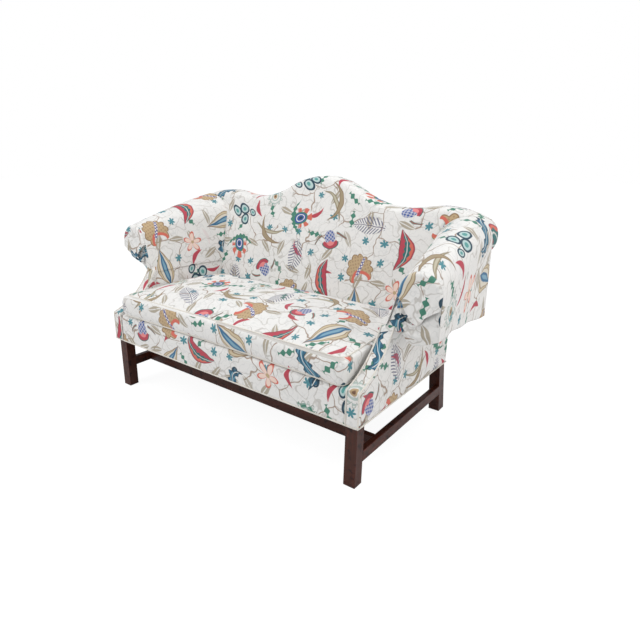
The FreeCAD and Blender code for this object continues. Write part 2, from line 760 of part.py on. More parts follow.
def front_band_cover():
    """The fabric over that felt, from under the rail to the deck."""
    top = DECK_TOP - COVER
    felt = FRONT_PAD - COVER
    return across_front([
        line(point(0, -FRONT_PAD, FABRIC_BOTTOM), point(0, -FRONT_PAD, top - 2 * felt)),
        band_nose(2 * felt + COVER, felt, top),
        line(point(0, felt, DECK_TOP), point(0, RAIL_THICK, DECK_TOP)),
        line(point(0, RAIL_THICK, DECK_TOP), point(0, RAIL_THICK, top)),
        line(point(0, RAIL_THICK, top), point(0, felt, top)),
        band_nose(2 * felt, felt, top),
        line(point(0, -felt, top - 2 * felt), point(0, -felt, FABRIC_BOTTOM)),
        line(point(0, -felt, FABRIC_BOTTOM), point(0, -FRONT_PAD, FABRIC_BOTTOM)),
    ])


def deck_layer(bottom, top):
    """A layer of the seat deck, between the arms' posts and from rail to rail."""
    half = HALF - RAIL_THICK
    return box(-half, half, RAIL_THICK, FRAME_DEPTH - POST_THICK, bottom, top)


def dust_cover(legs):
    """Thin black cloth tacked under the rails, cut out round the legs."""
    inset = OUTSIDE_PAD
    sheet = box(inset - HALF, HALF - inset, inset, FRAME_DEPTH - inset, RAIL_BOTTOM - DUST_COVER, RAIL_BOTTOM)
    return cut(sheet, legs)


def spring_x(k):
    pitch = (FRAME_WIDTH - 2 * SPRING_EDGE) / (SPRINGS - 1)
    return (k - (SPRINGS - 1) / 2) * pitch


def spring_path(x):
    """The bends from side to side, and the straight tails before and after them."""
    z = RAIL_TOP + SPRING_WIRE
    start = RAIL_THICK / 2
    end = FRAME_DEPTH - RAIL_THICK / 2
    bend = SPRING_LOOP
    quarter = bend * math.sqrt(0.5)
    bends = int((end - start - 2 * SPRING_TAIL) / (2 * bend))
    y = (start + end) / 2 - bend * bends
    here = point(x, y, z)
    front_tail = (point(x, start, z), here)
    edges = []
    for k in range(bends):
        out = 1 if k % 2 == 0 else -1
        first = point(x + out * (SPRING_HALF_WIDTH - bend), y, z)
        edges.append(line(here, first))
        middle = point(first.x + out * bend, y + bend, z)
        edges.append(arc(first, point(first.x + out * quarter, middle.y - quarter, z), middle))
        here = point(first.x, y + 2 * bend, z)
        edges.append(arc(middle, point(first.x + out * quarter, middle.y + quarter, z), here))
        y += 2 * bend
    last = point(x, y, z)
    edges.append(line(here, last))
    return edges, [front_tail, (point(x, end, z), last)]


def springs():
    """Sinuous springs, each with a straight tail at both ends for its clip."""
    wires = []
    for k in range(SPRINGS):
        bends, tails = spring_path(spring_x(k))
        pieces = [tube(bends, SPRING_WIRE)]
        pieces += [rod(SPRING_WIRE, start, end) for start, end in tails]
        pieces += [Part.makeSphere(SPRING_WIRE, end) for _, end in tails]
        wires.append(joined(pieces))
    return Part.makeCompound(wires)


def clip_block(k, front, back):
    """A block on a rail, as wide and high as a clip, over the end of one spring."""
    wide, _, high = CLIP
    x = spring_x(k)
    return box(x - wide / 2, x + wide / 2, front, back, RAIL_TOP, RAIL_TOP + high)


def spring_clips(wires):
    half = CLIP[1] / 2
    middles = (RAIL_THICK / 2, FRAME_DEPTH - RAIL_THICK / 2)
    clips = [clip_block(k, y - half, y + half) for k in range(SPRINGS) for y in middles]
    return Part.makeCompound(clips).cut(wires)


def clip_pockets():
    """Room in the front felt for the clips and for the springs behind them."""
    front = RAIL_THICK / 2 - CLIP[1] / 2
    return [clip_block(k, front, RAIL_THICK) for k in range(SPRINGS)]


# Loose cushion

def cushion_outline(z, inset, swell):
    """The cushion's plan at a height, drawn in from its seams by inset."""
    front = -CUSHION_SEAM + inset - swell
    back = inside_back_y(z) - CUSHION_BACK_GAP - inset
    side = CUSHION_HALF - inset
    rear = min(inner_face(back) - CUSHION_GAP, CUSHION_HALF) - inset
    waist_y = ARM_FRONT + (ARM_END - ARM_FRONT) * CUSHION_WAIST
    waist = min(inner_face(waist_y) - CUSHION_GAP, CUSHION_HALF) - inset - CUSHION_SIDE_PULL
    corner = CUSHION_CORNER
    bite = corner * (1 - math.sqrt(0.5))
    p = [
        point(-side + corner, front, z), point(side - corner, front, z),
        point(side, front + corner, z), point(rear, back - corner, z),
        point(rear - corner, back, z), point(-rear + corner, back, z),
        point(-rear, back - corner, z), point(-side, front + corner, z),
    ]
    middle = (front + back) / 2
    return Part.Wire([
        arc(p[0], point(0, front + CUSHION_PULL, z), p[1]),
        arc(p[1], point(side - bite, front + bite, z), p[2]),
        arc(p[2], point(waist, middle, z), p[3]),
        arc(p[3], point(rear - bite, back - bite, z), p[4]),
        line(p[4], p[5]),
        arc(p[5], point(-rear + bite, back - bite, z), p[6]),
        arc(p[6], point(-waist, middle, z), p[7]),
        arc(p[7], point(-side + bite, front + bite, z), p[0]),
    ])


def cushion_solid(inset):
    """Flat under, swelling sides between two seams and a crowned top."""
    low, high = CUSHION_LOW_SEAM, CUSHION_HIGH_SEAM
    bottom = DECK_TOP + CUSHION_REST + inset
    top = CUSHION_TOP - inset
    swell = CUSHION_NOSE - CUSHION_SEAM
    rise = top - high
    bulge = (high - low) / 4
    sides = Part.makeLoft([
        cushion_outline(bottom, inset + low - bottom, 0),
        cushion_outline(low, inset, 0),
        cushion_outline(low + WELT_RADIUS, inset, 0),
        cushion_outline(low + bulge, inset, swell),
        cushion_outline(high - bulge, inset, swell),
        cushion_outline(high - WELT_RADIUS, inset, 0),
        cushion_outline(high, inset, 0),
    ], True, True)
    crown = Part.makeLoft(
        [cushion_outline(high + rise * up, inset + inward, 0) for inward, up in CUSHION_CROWN], True, False)
    return joined([sides, crown])


def zipper_strip(thick, grow):
    """The zipper in the cushion's back boxing, in line with the leaning back."""
    middle = (CUSHION_LOW_SEAM + CUSHION_HIGH_SEAM) / 2
    y = inside_back_y(middle) - CUSHION_BACK_GAP
    half = ZIPPER_HEIGHT / 2
    strip = box(-ZIPPER_HALF, ZIPPER_HALF, y - thick, y + grow, middle - half, middle + half)
    strip.rotate(point(0, y, middle), point(1, 0, 0), -BACK_LEAN)
    return strip


def zipper_slider():
    """The slider at the closed end of the zipper, with its tab laid along the tape."""
    middle = (CUSHION_LOW_SEAM + CUSHION_HIGH_SEAM) / 2
    y = inside_back_y(middle) - CUSHION_BACK_GAP + ZIPPER_RELIEF + SLIDER_CLEARANCE
    length, high, thick = SLIDER
    x = ZIPPER_HALF - 2 * length
    body = box(x - length / 2, x + length / 2, y, y + thick, middle - high / 2, middle + high / 2)
    tab = box(x - SLIDER_TAB, x, y + thick / 3, y + thick * 2 / 3, middle - high / 4, middle + high / 4)
    both = joined([body, tab])
    both.rotate(point(0, y, middle), point(1, 0, 0), -BACK_LEAN)
    return both


# Loose arm covers

def sleeve_hem(y):
    share = arm_share(max(y, ARM_FRONT))
    return SLEEVE_HEM_FRONT + share * (SLEEVE_HEM_BACK - SLEEVE_HEM_FRONT)


def sleeve_path(y, proud, flare):
    """Inner edge, over the roll, then straight down from its widest point to the hem."""
    _, inner_circle, start, outer_circle, _ = arm_path(y, proud)
    touch = on_circle(*inner_circle, start, y)
    kink = point(inner_face(max(y, ARM_FRONT)) - proud, y, ARM_INNER_KINK)
    share = (SLEEVE_INNER_EDGE - kink.z) / (touch.z - kink.z)
    edge = kink + (touch - kink) * share
    side = on_circle(*outer_circle, 0, y)
    return [
        line(edge, touch),
        circle_arc(*inner_circle, start, 90, y),
        circle_arc(*outer_circle, 90, 0, y),
        line(side, point(side.x + flare, y, sleeve_hem(y))),
    ]


def sleeve_section(y, flare):
    outer = sleeve_path(y, SLEEVE_CLEARANCE + SLEEVE_THICK, flare)
    inner = sleeve_path(y, SLEEVE_CLEARANCE, flare)
    ends = [line(outer[0].Vertexes[0].Point, inner[0].Vertexes[0].Point),
            line(outer[-1].Vertexes[1].Point, inner[-1].Vertexes[1].Point)]
    return Part.Wire(Part.sortEdges(outer + inner + ends)[0])


def sleeve():
    """A cover over one arm, with a flap over the front of the roll."""
    front = ARM_FRONT - SLEEVE_FRONT_GAP
    end = ARM_END - SLEEVE_BACK_GAP
    folds = len(SLEEVE_FLARE)
    stations = [front + (end - front) * k / (folds - 1) for k in range(folds)]
    over = Part.makeLoft([sleeve_section(y, f) for y, f in zip(stations, SLEEVE_FLARE)], True, False)
    path = sleeve_path(front, SLEEVE_CLEARANCE + SLEEVE_THICK, SLEEVE_FLARE[0])
    inner_end = path[0].Vertexes[0].Point
    hem = path[-1].Vertexes[1].Point
    if hem.z > path[-1].Vertexes[0].Point.z:
        hem = path[-1].Vertexes[0].Point
    turn = point(SLEEVE_FLAP_INNER[0], front, SLEEVE_FLAP_INNER[1])
    tip = point(SLEEVE_FLAP_TIP[0], front, SLEEVE_FLAP_TIP[1])
    edges = [line(hem, tip), line(tip, turn), line(turn, inner_end)]
    flap = prism(path + edges, point(0, -SLEEVE_THICK, 0))
    out, back, up = SLEEVE_NOTCH
    proud = 2 * WELT_RADIUS + SLEEVE_CLEARANCE
    facing = below_sweep(0, OUTSIDE_X + FACING_LAP + proud, -proud, WING_TOP[0] + back, FABRIC_BOTTOM)
    notch = box(0, OUTSIDE_X + FACING_LAP + out, 0, WING_TOP[0] + back, 0, WING_TOP[1] + up)
    inner_half = box(0, ROLL_BACK_X, 0, 2 * FRAME_DEPTH, 0, 2 * CREST_TOP)
    behind = back_volume(-SLEEVE_BACK_CLEARANCE).common(inner_half)
    return joined([cut(over, [notch, behind]), cut(flap, [facing])])


# Welts along the bottom and round the back

def bottom_welt():
    """A cord under the edge of the fabric, along the front and both sides."""
    z = FABRIC_BOTTOM - WELT_RADIUS - WELT_GAP
    x, front, back = OUTSIDE_X, -FRONT_PAD, FRAME_DEPTH
    r = WELT_CORNER
    bite = r * (1 - math.sqrt(0.5))
    edges = [
        line(point(-x, back, z), point(-x, front + r, z)),
        arc(point(-x, front + r, z), point(-x + bite, front + bite, z), point(-x + r, front, z)),
        line(point(-x + r, front, z), point(x - r, front, z)),
        arc(point(x - r, front, z), point(x - bite, front + bite, z), point(x, front + r, z)),
        line(point(x, front + r, z), point(x, back, z)),
    ]
    return tube(edges, WELT_RADIUS)


def outside_back_cover(legs):
    """The flat panel over the back of the frame, cut out round the back legs."""
    upper = prism(back_outline(0, RAIL_TOP, OUTSIDE_X), point(0, COVER, 0))
    lower = box(-OUTSIDE_X, OUTSIDE_X, FRAME_DEPTH, FRAME_DEPTH + COVER, FABRIC_BOTTOM, RAIL_TOP)
    return cut(joined([raked(upper), lower]), legs)


def behind_post_front(shape):
    """Trims a piece that runs back to the front faces of the posts."""
    y = FRAME_DEPTH - POST_THICK
    wide = 2 * HALF
    return shape.cut(raked(box(-wide, wide, y, y + wide, 0, 2 * CREST_TOP)))


def largest(shape):
    return max(shape.Solids, key=lambda solid: solid.Volume)


def cushion_welts():
    """Cords along both seams of the cushion, each in two lengths that meet in the middle."""
    halves = []
    right_side = box(0, FRAME_WIDTH, -FRAME_DEPTH, 2 * FRAME_DEPTH, 0, CREST_TOP)
    for z in (CUSHION_LOW_SEAM, CUSHION_HIGH_SEAM):
        loop = cushion_outline(z, -WELT_RADIUS - WELT_GAP, 0)
        half = tube(Part.sortEdges(loop.common(right_side).Edges)[0], WELT_RADIUS)
        halves += [half, mirrored(half)]
    return halves


def seat_frame():
    """Legs, rails and stretchers with their dowels, corner blocks and screws."""
    dowels = frame_dowels()
    dowels += [mirrored(dowel) for dowel in dowels]
    middle = RAIL_TOP - BLOCK_DROP - BLOCK_HEIGHT / 2
    heights = (middle - BLOCK_HEIGHT / 4, middle + BLOCK_HEIGHT / 4)
    corners = ((RAIL_THICK, 1), (FRAME_DEPTH - RAIL_THICK, -1))
    blocks = [corner_block(y, inward) for y, inward in corners]
    screws = [block_screw(y, inward, z) for y, inward in corners for z in heights]
    blocks += [mirrored(block) for block in blocks]
    screws += [mirrored(screw) for screw in screws]
    holes = dowels + screws
    write_pair("front_leg", cut(front_leg(), holes))
    write_pair("back_leg", cut(back_leg(), holes))
    write_pair("side_seat_rail", cut(side_rail(), holes))
    write_pair("side_stretcher", side_stretcher())
    write("front_seat_rail", cut(front_rail(), holes))
    write("back_seat_rail", cut(back_rail(), holes))
    write("cross_stretcher", cross_stretcher())
    write("frame_dowels", Part.makeCompound(dowels))
    write("corner_blocks", Part.makeCompound([cut(block, screws) for block in blocks]))
    write("corner_block_screws", Part.makeCompound(screws))


def back_frame():
    """Writes the back's wood and webbing, and returns what the padding goes round."""
    crest = crest_rail()
    post = back_post(crest)
    upright = back_upright(crest)
    tack = back_tack_rail()
    webbing = back_webbing()
    write("crest_rail", crest)
    write_pair("back_post", post)
    write_pair("back_upright", upright)
    write("back_tack_rail", tack)
    write("back_webbing", webbing)
    return [crest, post, mirrored(post), upright, mirrored(upright), tack, webbing]


def arm_frame():
    """Writes each arm's wood, and returns the pieces on the +X side."""
    post = arm_post()
    wing = arm_wing()
    top = behind_post_front(arm_top_rail())
    tack = behind_post_front(arm_tack_rail())
    write_pair("arm_post", post)
    write_pair("arm_wing", wing)
    write_pair("arm_top_rail", top)
    write_pair("arm_tack_rail", tack)
    return [post, wing, top, tack]


def upholstery(back_wood, arm_wood):
    """Padding and covers of the arms and the back."""
    arm_pad = arm_padding(arm_wood + back_wood)
    arm_skin = inside_arm_cover(arm_wood + back_wood)
    write_pair("arm_padding", arm_pad)
    write_pair("inside_arm_cover", arm_skin)
    panel = outside_arm_cover()
    write_pair("outside_arm_cover", panel)
    write_pair("arm_facing", arm_facing())
    write_pair("scroll_panel", scroll_panel())

    arm_whole = Part.makeLoft([arm_section(y, 0) for y in arm_stations()], True, False)
    around = arm_wood + [arm_whole, panel]
    around += [mirrored(shape) for shape in around] + back_wood
    inner = back_volume(COVER)
    write("back_padding", largest(cut(inner, around)))
    write("inside_back_cover", largest(cut(back_volume(0), [inner] + around)))
    write("outside_back_cover", outside_back_cover([back_leg(), mirrored(back_leg())]))

    welts = facing_welts()
    write("facing_welts", Part.makeCompound(welts + [mirrored(welt) for welt in welts]))
    write("bottom_welt", bottom_welt())


def seat_deck():
    """Springs and the layers over them, the front band and the cloth underneath."""
    wires = springs()
    clips = spring_clips(wires)
    on_springs = RAIL_TOP + 2 * SPRING_WIRE
    under_cloth = DECK_TOP - DECK_CLOTH
    legs = [front_leg(), back_leg()]
    legs += [mirrored(leg) for leg in legs]
    write("sinuous_springs", wires)
    write("spring_clips", clips)
    write("seat_burlap", deck_layer(on_springs, on_springs + BURLAP))
    write("deck_pad", deck_layer(on_springs + BURLAP, under_cloth))
    write("deck_cloth", deck_layer(under_cloth, DECK_TOP))
    write("front_band_pad", cut(front_band_pad(), clip_pockets()))
    write("front_band_cover", front_band_cover())
    write("dust_cover", dust_cover(legs))


def seat_cushion():
    """The loose cushion: filling, cover, welts and zipper."""
    welts = cushion_welts()
    strip = zipper_strip(COVER * 2, ZIPPER_RELIEF)
    inside = cushion_solid(CUSHION_WRAP)
    write("cushion_filling", cut(cushion_solid(CUSHION_WRAP + COVER_GAP), [strip]))
    write("cushion_cover", cut(cushion_solid(0), [inside, strip]))
    write("cushion_welts", Part.makeCompound(welts))
    write("zipper_tape", strip)
    write("zipper_slider", zipper_slider())


def main():
    os.makedirs("parts", exist_ok=True)
    seat_frame()
    back_wood = back_frame()
    arm_wood = arm_frame()
    upholstery(back_wood, arm_wood)
    seat_deck()
    seat_cushion()
    write_pair("arm_cover", sleeve())


main()
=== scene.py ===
import math

import bmesh
import bpy
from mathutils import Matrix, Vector, noise
from mathutils.bvhtree import BVHTree


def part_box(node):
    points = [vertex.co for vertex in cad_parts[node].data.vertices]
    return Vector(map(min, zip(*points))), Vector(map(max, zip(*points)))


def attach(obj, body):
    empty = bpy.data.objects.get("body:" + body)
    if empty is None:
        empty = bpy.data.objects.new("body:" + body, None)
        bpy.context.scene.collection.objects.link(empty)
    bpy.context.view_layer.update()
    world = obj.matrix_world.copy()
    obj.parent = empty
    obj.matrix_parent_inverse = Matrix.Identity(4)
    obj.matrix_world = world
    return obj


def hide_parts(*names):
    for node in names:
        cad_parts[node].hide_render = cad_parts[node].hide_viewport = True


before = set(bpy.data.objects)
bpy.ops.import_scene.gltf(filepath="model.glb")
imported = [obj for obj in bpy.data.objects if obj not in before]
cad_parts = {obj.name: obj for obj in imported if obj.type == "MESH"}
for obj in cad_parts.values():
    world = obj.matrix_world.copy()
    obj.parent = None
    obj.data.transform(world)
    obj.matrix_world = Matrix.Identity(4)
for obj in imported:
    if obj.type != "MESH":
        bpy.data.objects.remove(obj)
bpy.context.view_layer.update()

# A camelback loveseat in printed linen, with loose arm covers and dark mahogany legs.
# Metres. +X is the sitter's left hand, -Y the front, +Z up, the floor at zero.

LEG_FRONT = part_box("front_leg_left")[0].y      # front face of the front legs

# Sizes that the pieces share, as the frame has them
FABRIC_BOTTOM = 0.223
DECK_TOP = 0.342
LOW_SEAM = 0.348
HIGH_SEAM = 0.431
ARM_FRONT = 0.190
ARM_END = 0.645
THROAT_X = 0.640
FACING_INNER = 0.573
FACING_OUTER = 0.622
OUTSIDE_X = 0.6185
INNER_FACE = 0.570          # the arm's inside at its front, below the lean
INNER_TAPER = 0.074         # how far the inside comes in towards the back
INNER_KINK = 0.425          # the height at which the inside starts to lean
BAND_FRONT = LEG_FRONT - 0.010
MAP_FRONT = LEG_FRONT - 0.018   # where the print on the front goes on from that on the cushion's top
WELT = 0.0028
BACK_RAKE = math.radians(7.5)


def back_of(y):
    """Distance behind the front legs' front face."""
    return y - LEG_FRONT


# Shaders

def srgb(red, green, blue):
    """A colour picked in 0 to 255, as the shaders want it."""
    def linear(value):
        value /= 255
        return value / 12.92 if value <= 0.04045 else ((value + 0.055) / 1.055) ** 2.4
    return linear(red), linear(green), linear(blue), 1.0


def darkened(tint, share):
    return tuple(channel * share for channel in tint[:3]) + (1.0,)


class Value:
    """A socket's value. Arithmetic on it adds Math nodes to its material."""

    def __init__(self, made, socket):
        self.made = made
        self.socket = socket

    def math(self, operation, *others, clamp=False):
        inputs = dict(enumerate((self,) + others))
        return self.made.node("ShaderNodeMath", inputs, operation=operation, use_clamp=clamp)

    def __add__(self, other):
        return self.math("ADD", other)

    __radd__ = __add__

    def __sub__(self, other):
        return self.math("SUBTRACT", other)

    def __rsub__(self, other):
        return self.math("MULTIPLY_ADD", -1.0, other)

    def __mul__(self, other):
        return self.math("MULTIPLY", other)

    __rmul__ = __mul__

    def __truediv__(self, other):
        return self.math("DIVIDE", other)

    def __pow__(self, other):
        return self.math("POWER", other)

    def __neg__(self):
        return self.math("MULTIPLY", -1.0)

    def __abs__(self):
        return self.math("ABSOLUTE")

    def __mod__(self, other):
        return self.math("FLOORED_MODULO", other)

    def inside(self, softness=0.03):
        """1 where a signed distance is below zero."""
        return self.math("MULTIPLY_ADD", -1 / softness, 0.5, clamp=True)

    def near(self, target, width, softness=0.03):
        """1 on a line of that half width about a target value."""
        return (abs(self - target) - width).inside(softness)

    def sin(self):
        return self.math("SINE")

    def cos(self):
        return self.math("COSINE")

    def floor(self):
        return self.math("FLOOR")

    def most(self, other):
        return self.math("MAXIMUM", other)


class Finish:
    """One material and the nodes it is made of."""

    def __init__(self, name, **constants):
        self.material = bpy.data.materials.new(name)
        self.material.use_nodes = True
        self.tree = self.material.node_tree
        self.tree.nodes.clear()
        self.shader = self.tree.nodes.new("ShaderNodeBsdfPrincipled")
        out = self.tree.nodes.new("ShaderNodeOutputMaterial")
        self.tree.links.new(self.shader.outputs[0], out.inputs["Surface"])
        for socket, constant in constants.items():
            self.shader.inputs[socket.replace("_", " ")].default_value = constant

    def node(self, kind, inputs=(), output=0, ramp=None, **settings):
        """Any node: its settings first, then the values or links of its sockets."""
        made = self.tree.nodes.new(kind)
        for setting, choice in settings.items():
            setattr(made, setting, choice)
        if ramp:
            while len(made.color_ramp.elements) < len(ramp):
                made.color_ramp.elements.new(0.5)
            for element, (place, colour) in zip(made.color_ramp.elements, ramp):
                element.position = place
                element.color = colour
        for key, value in dict(inputs).items():
            if isinstance(value, Value):
                self.tree.links.new(value.socket, made.inputs[key])
            else:
                made.inputs[key].default_value = value
        return Value(self, made.outputs[output])

    def split(self, vector):
        """The x and y of a vector."""
        made = self.tree.nodes.new("ShaderNodeSeparateXYZ")
        self.tree.links.new(vector.socket, made.inputs[0])
        return Value(self, made.outputs[0]), Value(self, made.outputs[1])

    def vector(self, x, y, z=0.0):
        return self.node("ShaderNodeCombineXYZ", {0: x, 1: y, 2: z})

    def uv(self):
        return self.node("ShaderNodeUVMap", uv_map="UVMap")

    def object_place(self, stretch=(1, 1, 1)):
        place = self.node("ShaderNodeTexCoord", output="Object")
        return self.node("ShaderNodeMapping", {"Vector": place, "Scale": stretch})

    def noise(self, place, scale, detail=2.0, output="Fac", **inputs):
        sockets = {"Vector": place, "Scale": scale, "Detail": detail}
        sockets.update(inputs)
        return self.node("ShaderNodeTexNoise", sockets, output=output)

    def mix(self, factor, first, second):
        """Two colours mixed."""
        made = self.tree.nodes.new("ShaderNodeMix")
        made.data_type = "RGBA"
        for key, value in ((0, factor), (6, first), (7, second)):
            if isinstance(value, Value):
                self.tree.links.new(value.socket, made.inputs[key])
            else:
                made.inputs[key].default_value = value
        return Value(self, made.outputs[2])

    def set(self, socket, value):
        self.tree.links.new(value.socket, self.shader.inputs[socket])

    def shifted(self, place, shift, amount):
        """A place moved by a share of a shift."""
        inputs = {0: shift, 1: (amount, amount, 0.0), 2: place}
        return self.node("ShaderNodeVectorMath", inputs, operation="MULTIPLY_ADD")

    def turned_cell(self, x, y, column, row, layer, turn):
        """A cell's own chance, and the place in it from -1 to 1, turned by that chance."""
        cell = {"Vector": self.vector(column, row, layer)}
        chance = self.node("ShaderNodeTexWhiteNoise", cell, noise_dimensions="3D")
        local = self.vector((x - column) * 2.0 - 1.0, (y - row) * 2.0 - 1.0)
        turned = {"Vector": local, "Angle": chance * turn}
        return chance, *self.split(self.node("ShaderNodeVectorRotate", turned, rotation_type="Z_AXIS"))

    def bump(self, height, strength, distance, under=None):
        inputs = {"Height": height, "Strength": strength, "Distance": distance}
        if under:
            inputs["Normal"] = under
        return self.node("ShaderNodeBump", inputs)


# The printed cloth: one motif to a cell of a half-drop grid, each with its own turn

CELL = 0.170
KINDS = 11
FULL_TURN = 6.28
MANY_TURNS = 44.0
GROUND = srgb(230, 228, 224)
TEAL = srgb(38, 92, 118)
DEEP_TEAL = srgb(22, 60, 78)
BLUE = srgb(58, 84, 150)
PALE_AQUA = srgb(178, 200, 198)
GREEN = srgb(62, 124, 104)
CORAL = srgb(206, 104, 88)
ROSE = srgb(178, 62, 78)
DARK_ROSE = srgb(120, 34, 50)
TAN = srgb(186, 160, 124)
BROWN = srgb(128, 98, 66)
OLIVE = srgb(140, 129, 104)
VIOLET = srgb(96, 98, 150)
DUSK = srgb(112, 112, 132)
CREAM = srgb(236, 232, 224)


class Print:
    """Draws the motifs in the turned coordinates of a cell, from -1 to 1."""

    def __init__(self, finish, place):
        x, y = finish.split(place)
        x, y = x / CELL, y / CELL
        column = x.floor()
        y = y + (column % 2.0) * 0.5
        row = y.floor()
        self.kind = (column * 3.0 + row * 5.0) % float(KINDS)
        _, self.x, self.y = finish.turned_cell(x, y, column, row, 0.0, FULL_TURN)
        self.r = (self.x * self.x + self.y * self.y) ** 0.5
        self.angle = self.y.math("ARCTAN2", self.x)
        self.leaf = 1.0 - self.x * self.x

    def of_kind(self, number):
        return self.kind.near(float(number), 0.3, 0.1)

    def oval(self, x, y, wide, high):
        """Signed distance, in shares of the wide radius, to an oval."""
        across = (self.x - x) / wide
        up = (self.y - y) / high
        return (across * across + up * up) ** 0.5 - 1.0

    def eye_flower(self):
        eye = self.oval(0.0, 0.08, 0.26, 0.34)
        rays = (self.angle * 7.0).sin() * 0.5 + 0.5
        low = (self.y - 0.2).inside(0.2)
        reach = self.oval(0.0, 0.05, 0.56, 0.74)
        wing_y = self.y - 0.52 + self.x * self.x * 0.55
        wing = abs(wing_y) - (0.12 + (self.x * 26.0).sin() * 0.05) * self.leaf
        return [
            (wing.inside(), GREEN),
            (reach.inside() * (0.35 - rays).inside(0.1) * low, CORAL),
            ((eye - 0.28).inside(), GREEN),
            (eye.inside(), BLUE),
            (eye.near(-0.34, 0.07), CREAM),
            ((eye + 0.72).inside(), DEEP_TEAL),
        ]

    def scalloped_leaf(self):
        bite = self.oval(0.35, -0.55, 0.34, 0.34)
        edge = (self.r - 0.62 - abs((self.angle * 5.0).sin()) * 0.12 + self.y * 0.22).most(-bite)
        vein = abs(self.x + self.y * 0.1) - 0.075
        along = abs(self.y) - 0.5
        dots = ((self.y * 34.0).sin() * (self.x * 34.0).sin() - 0.2)
        speckle = ((self.x * 27.0).sin() * (self.y * 27.0).sin() - 0.35).inside(0.3)
        return [
            (edge.inside(), TAN),
            (edge.inside() * (1.0 - speckle) * 0.45, BROWN),
            (edge.near(-0.02, 0.02), BROWN),
            (edge.inside() * (bite - 0.45).inside(), CORAL),
            (vein.inside() * along.inside(), VIOLET),
            (vein.inside() * along.inside() * (1.0 - dots.inside(0.2)), CREAM),
        ]

    def scroll(self):
        wave = self.y - (self.x * 3.1).sin() * 0.3
        half = self.leaf * (0.27 + (self.x * 17.0).sin() * 0.09)
        body = abs(wave) - half
        streak = (wave * 30.0 + self.x * 8.0).sin()
        curl = self.oval(0.68, 0.34, 0.2, 0.2)
        other = self.oval(-0.66, -0.34, 0.17, 0.17)
        return [
            (body.inside(), TEAL),
            (body.inside() * (0.55 - streak).inside(0.3), srgb(98, 148, 168)),
            (body.near(-0.01, 0.022), DEEP_TEAL),
            (curl.near(-0.25, 0.2), TEAL),
            (other.near(-0.25, 0.22), DEEP_TEAL),
            (wave.near(0.0, 0.015) * (abs(self.x) - 0.8).inside(), CREAM),
        ]

    def blades(self):
        first = abs(self.y + 0.3 - self.x * self.x * 0.65) - self.leaf * 0.13
        tilt = self.x * 0.8 + self.y * 0.6
        second = abs(self.y * 0.8 - self.x * 0.6 - tilt * tilt * 0.4) - (1.0 - tilt * tilt) * 0.11
        return [
            (second.inside(), OLIVE),
            ((second + 0.055).inside(), srgb(186, 178, 156)),
            (first.inside(), srgb(156, 140, 112)),
            (first.near(-0.01, 0.018), BROWN),
        ]

    def rose_leaf(self):
        bend = self.y - self.x * self.x * 0.4 + 0.15
        body = abs(bend) - self.leaf * 0.34
        core = abs(bend + 0.03) - self.leaf * (0.12 + (self.x * 22.0).sin() * 0.03)
        return [
            (body.inside(), ROSE),
            ((body + 0.06).inside() * bend.inside(), CORAL),
            (core.inside(), srgb(40, 104, 104)),
            (bend.near(-0.03, 0.012) * body.inside(), CREAM),
            (body.near(0.0, 0.016), DARK_ROSE),
        ]

    def rings(self):
        layers = []
        for spot in ((-0.38, 0.42, 0.22, 0.3), (0.1, 0.2, 0.25, 0.34),
                     (-0.22, -0.38, 0.23, 0.31), (0.45, -0.4, 0.18, 0.26)):
            oval = self.oval(*spot)
            layers += [
                ((oval - 0.16).inside(0.06), DEEP_TEAL),
                ((oval + 0.2).inside(0.06), PALE_AQUA),
                ((oval + 0.6).inside(0.06), srgb(84, 150, 146)),
            ]
        return layers

    def frond(self):
        strokes = ((self.x - abs(self.y) * 0.7) * 38.0).sin()
        spread = abs(self.y) - self.leaf * 0.42
        stem = abs(self.y) - 0.018
        return [
            ((0.25 - strokes).inside(0.3) * spread.inside() * (0.06 - abs(self.y)).inside(), DUSK),
            (stem.inside(0.02) * (abs(self.x) - 0.9).inside(), srgb(90, 86, 112)),
        ]

    def arrow_leaf(self):
        half = self.leaf * (0.36 + self.x * 0.22)
        body = abs(self.y) - half * 1.25
        core = abs(self.y) - half * 0.42
        gap = abs(self.y) - half * 0.86
        return [
            (body.inside(), srgb(196, 180, 150)),
            (body.near(-0.01, 0.016), BROWN),
            (gap.inside(), srgb(214, 206, 190)),
            (gap.near(0.0, 0.014), BROWN),
            (core.inside(), srgb(52, 104, 140)),
            ((core + 0.09).inside(), srgb(120, 160, 180)),
        ]

    def star_wheel(self):
        petals = self.r - 0.34 - abs((self.angle * 6.0).cos()) * 0.2
        ring = (self.r * 34.0).sin()
        return [
            (petals.inside() * (0.1 - ring).inside(0.4) * 0.7, srgb(150, 172, 164)),
            (petals.near(0.0, 0.02), srgb(140, 150, 140)),
            ((self.r - 0.14).inside(), srgb(176, 150, 112)),
            ((self.r - 0.07).inside(), srgb(110, 80, 60)),
        ]

    def cup_flower(self):
        cup = self.oval(0.0, -0.1, 0.46, 0.36)
        below = (self.y + 0.02 + abs((self.x * 9.0).sin()) * 0.1).inside()
        fan = self.oval(0.0, 0.12, 0.3, 0.38)
        horn = abs(self.y - 0.25 - abs(self.x) * 0.5 + self.x * self.x * 0.9) - 0.06
        side = (0.42 - abs(self.x)).inside() * (abs(self.x) - 0.92).inside()
        above = fan.inside() * (1.0 - below)
        check = ((self.x * 30.0).sin() * (self.y * 30.0).sin() - 0.1).inside(0.4)
        return [
            (horn.inside() * side, GREEN),
            (horn.near(-0.06, 0.02) * side, ROSE),
            (above, BLUE),
            (above * check * 0.5, CREAM),
            (cup.inside() * below, ROSE),
            ((cup + 0.5).inside() * below, srgb(220, 128, 128)),
            (cup.near(-0.02, 0.06) * below, srgb(46, 100, 96)),
        ]

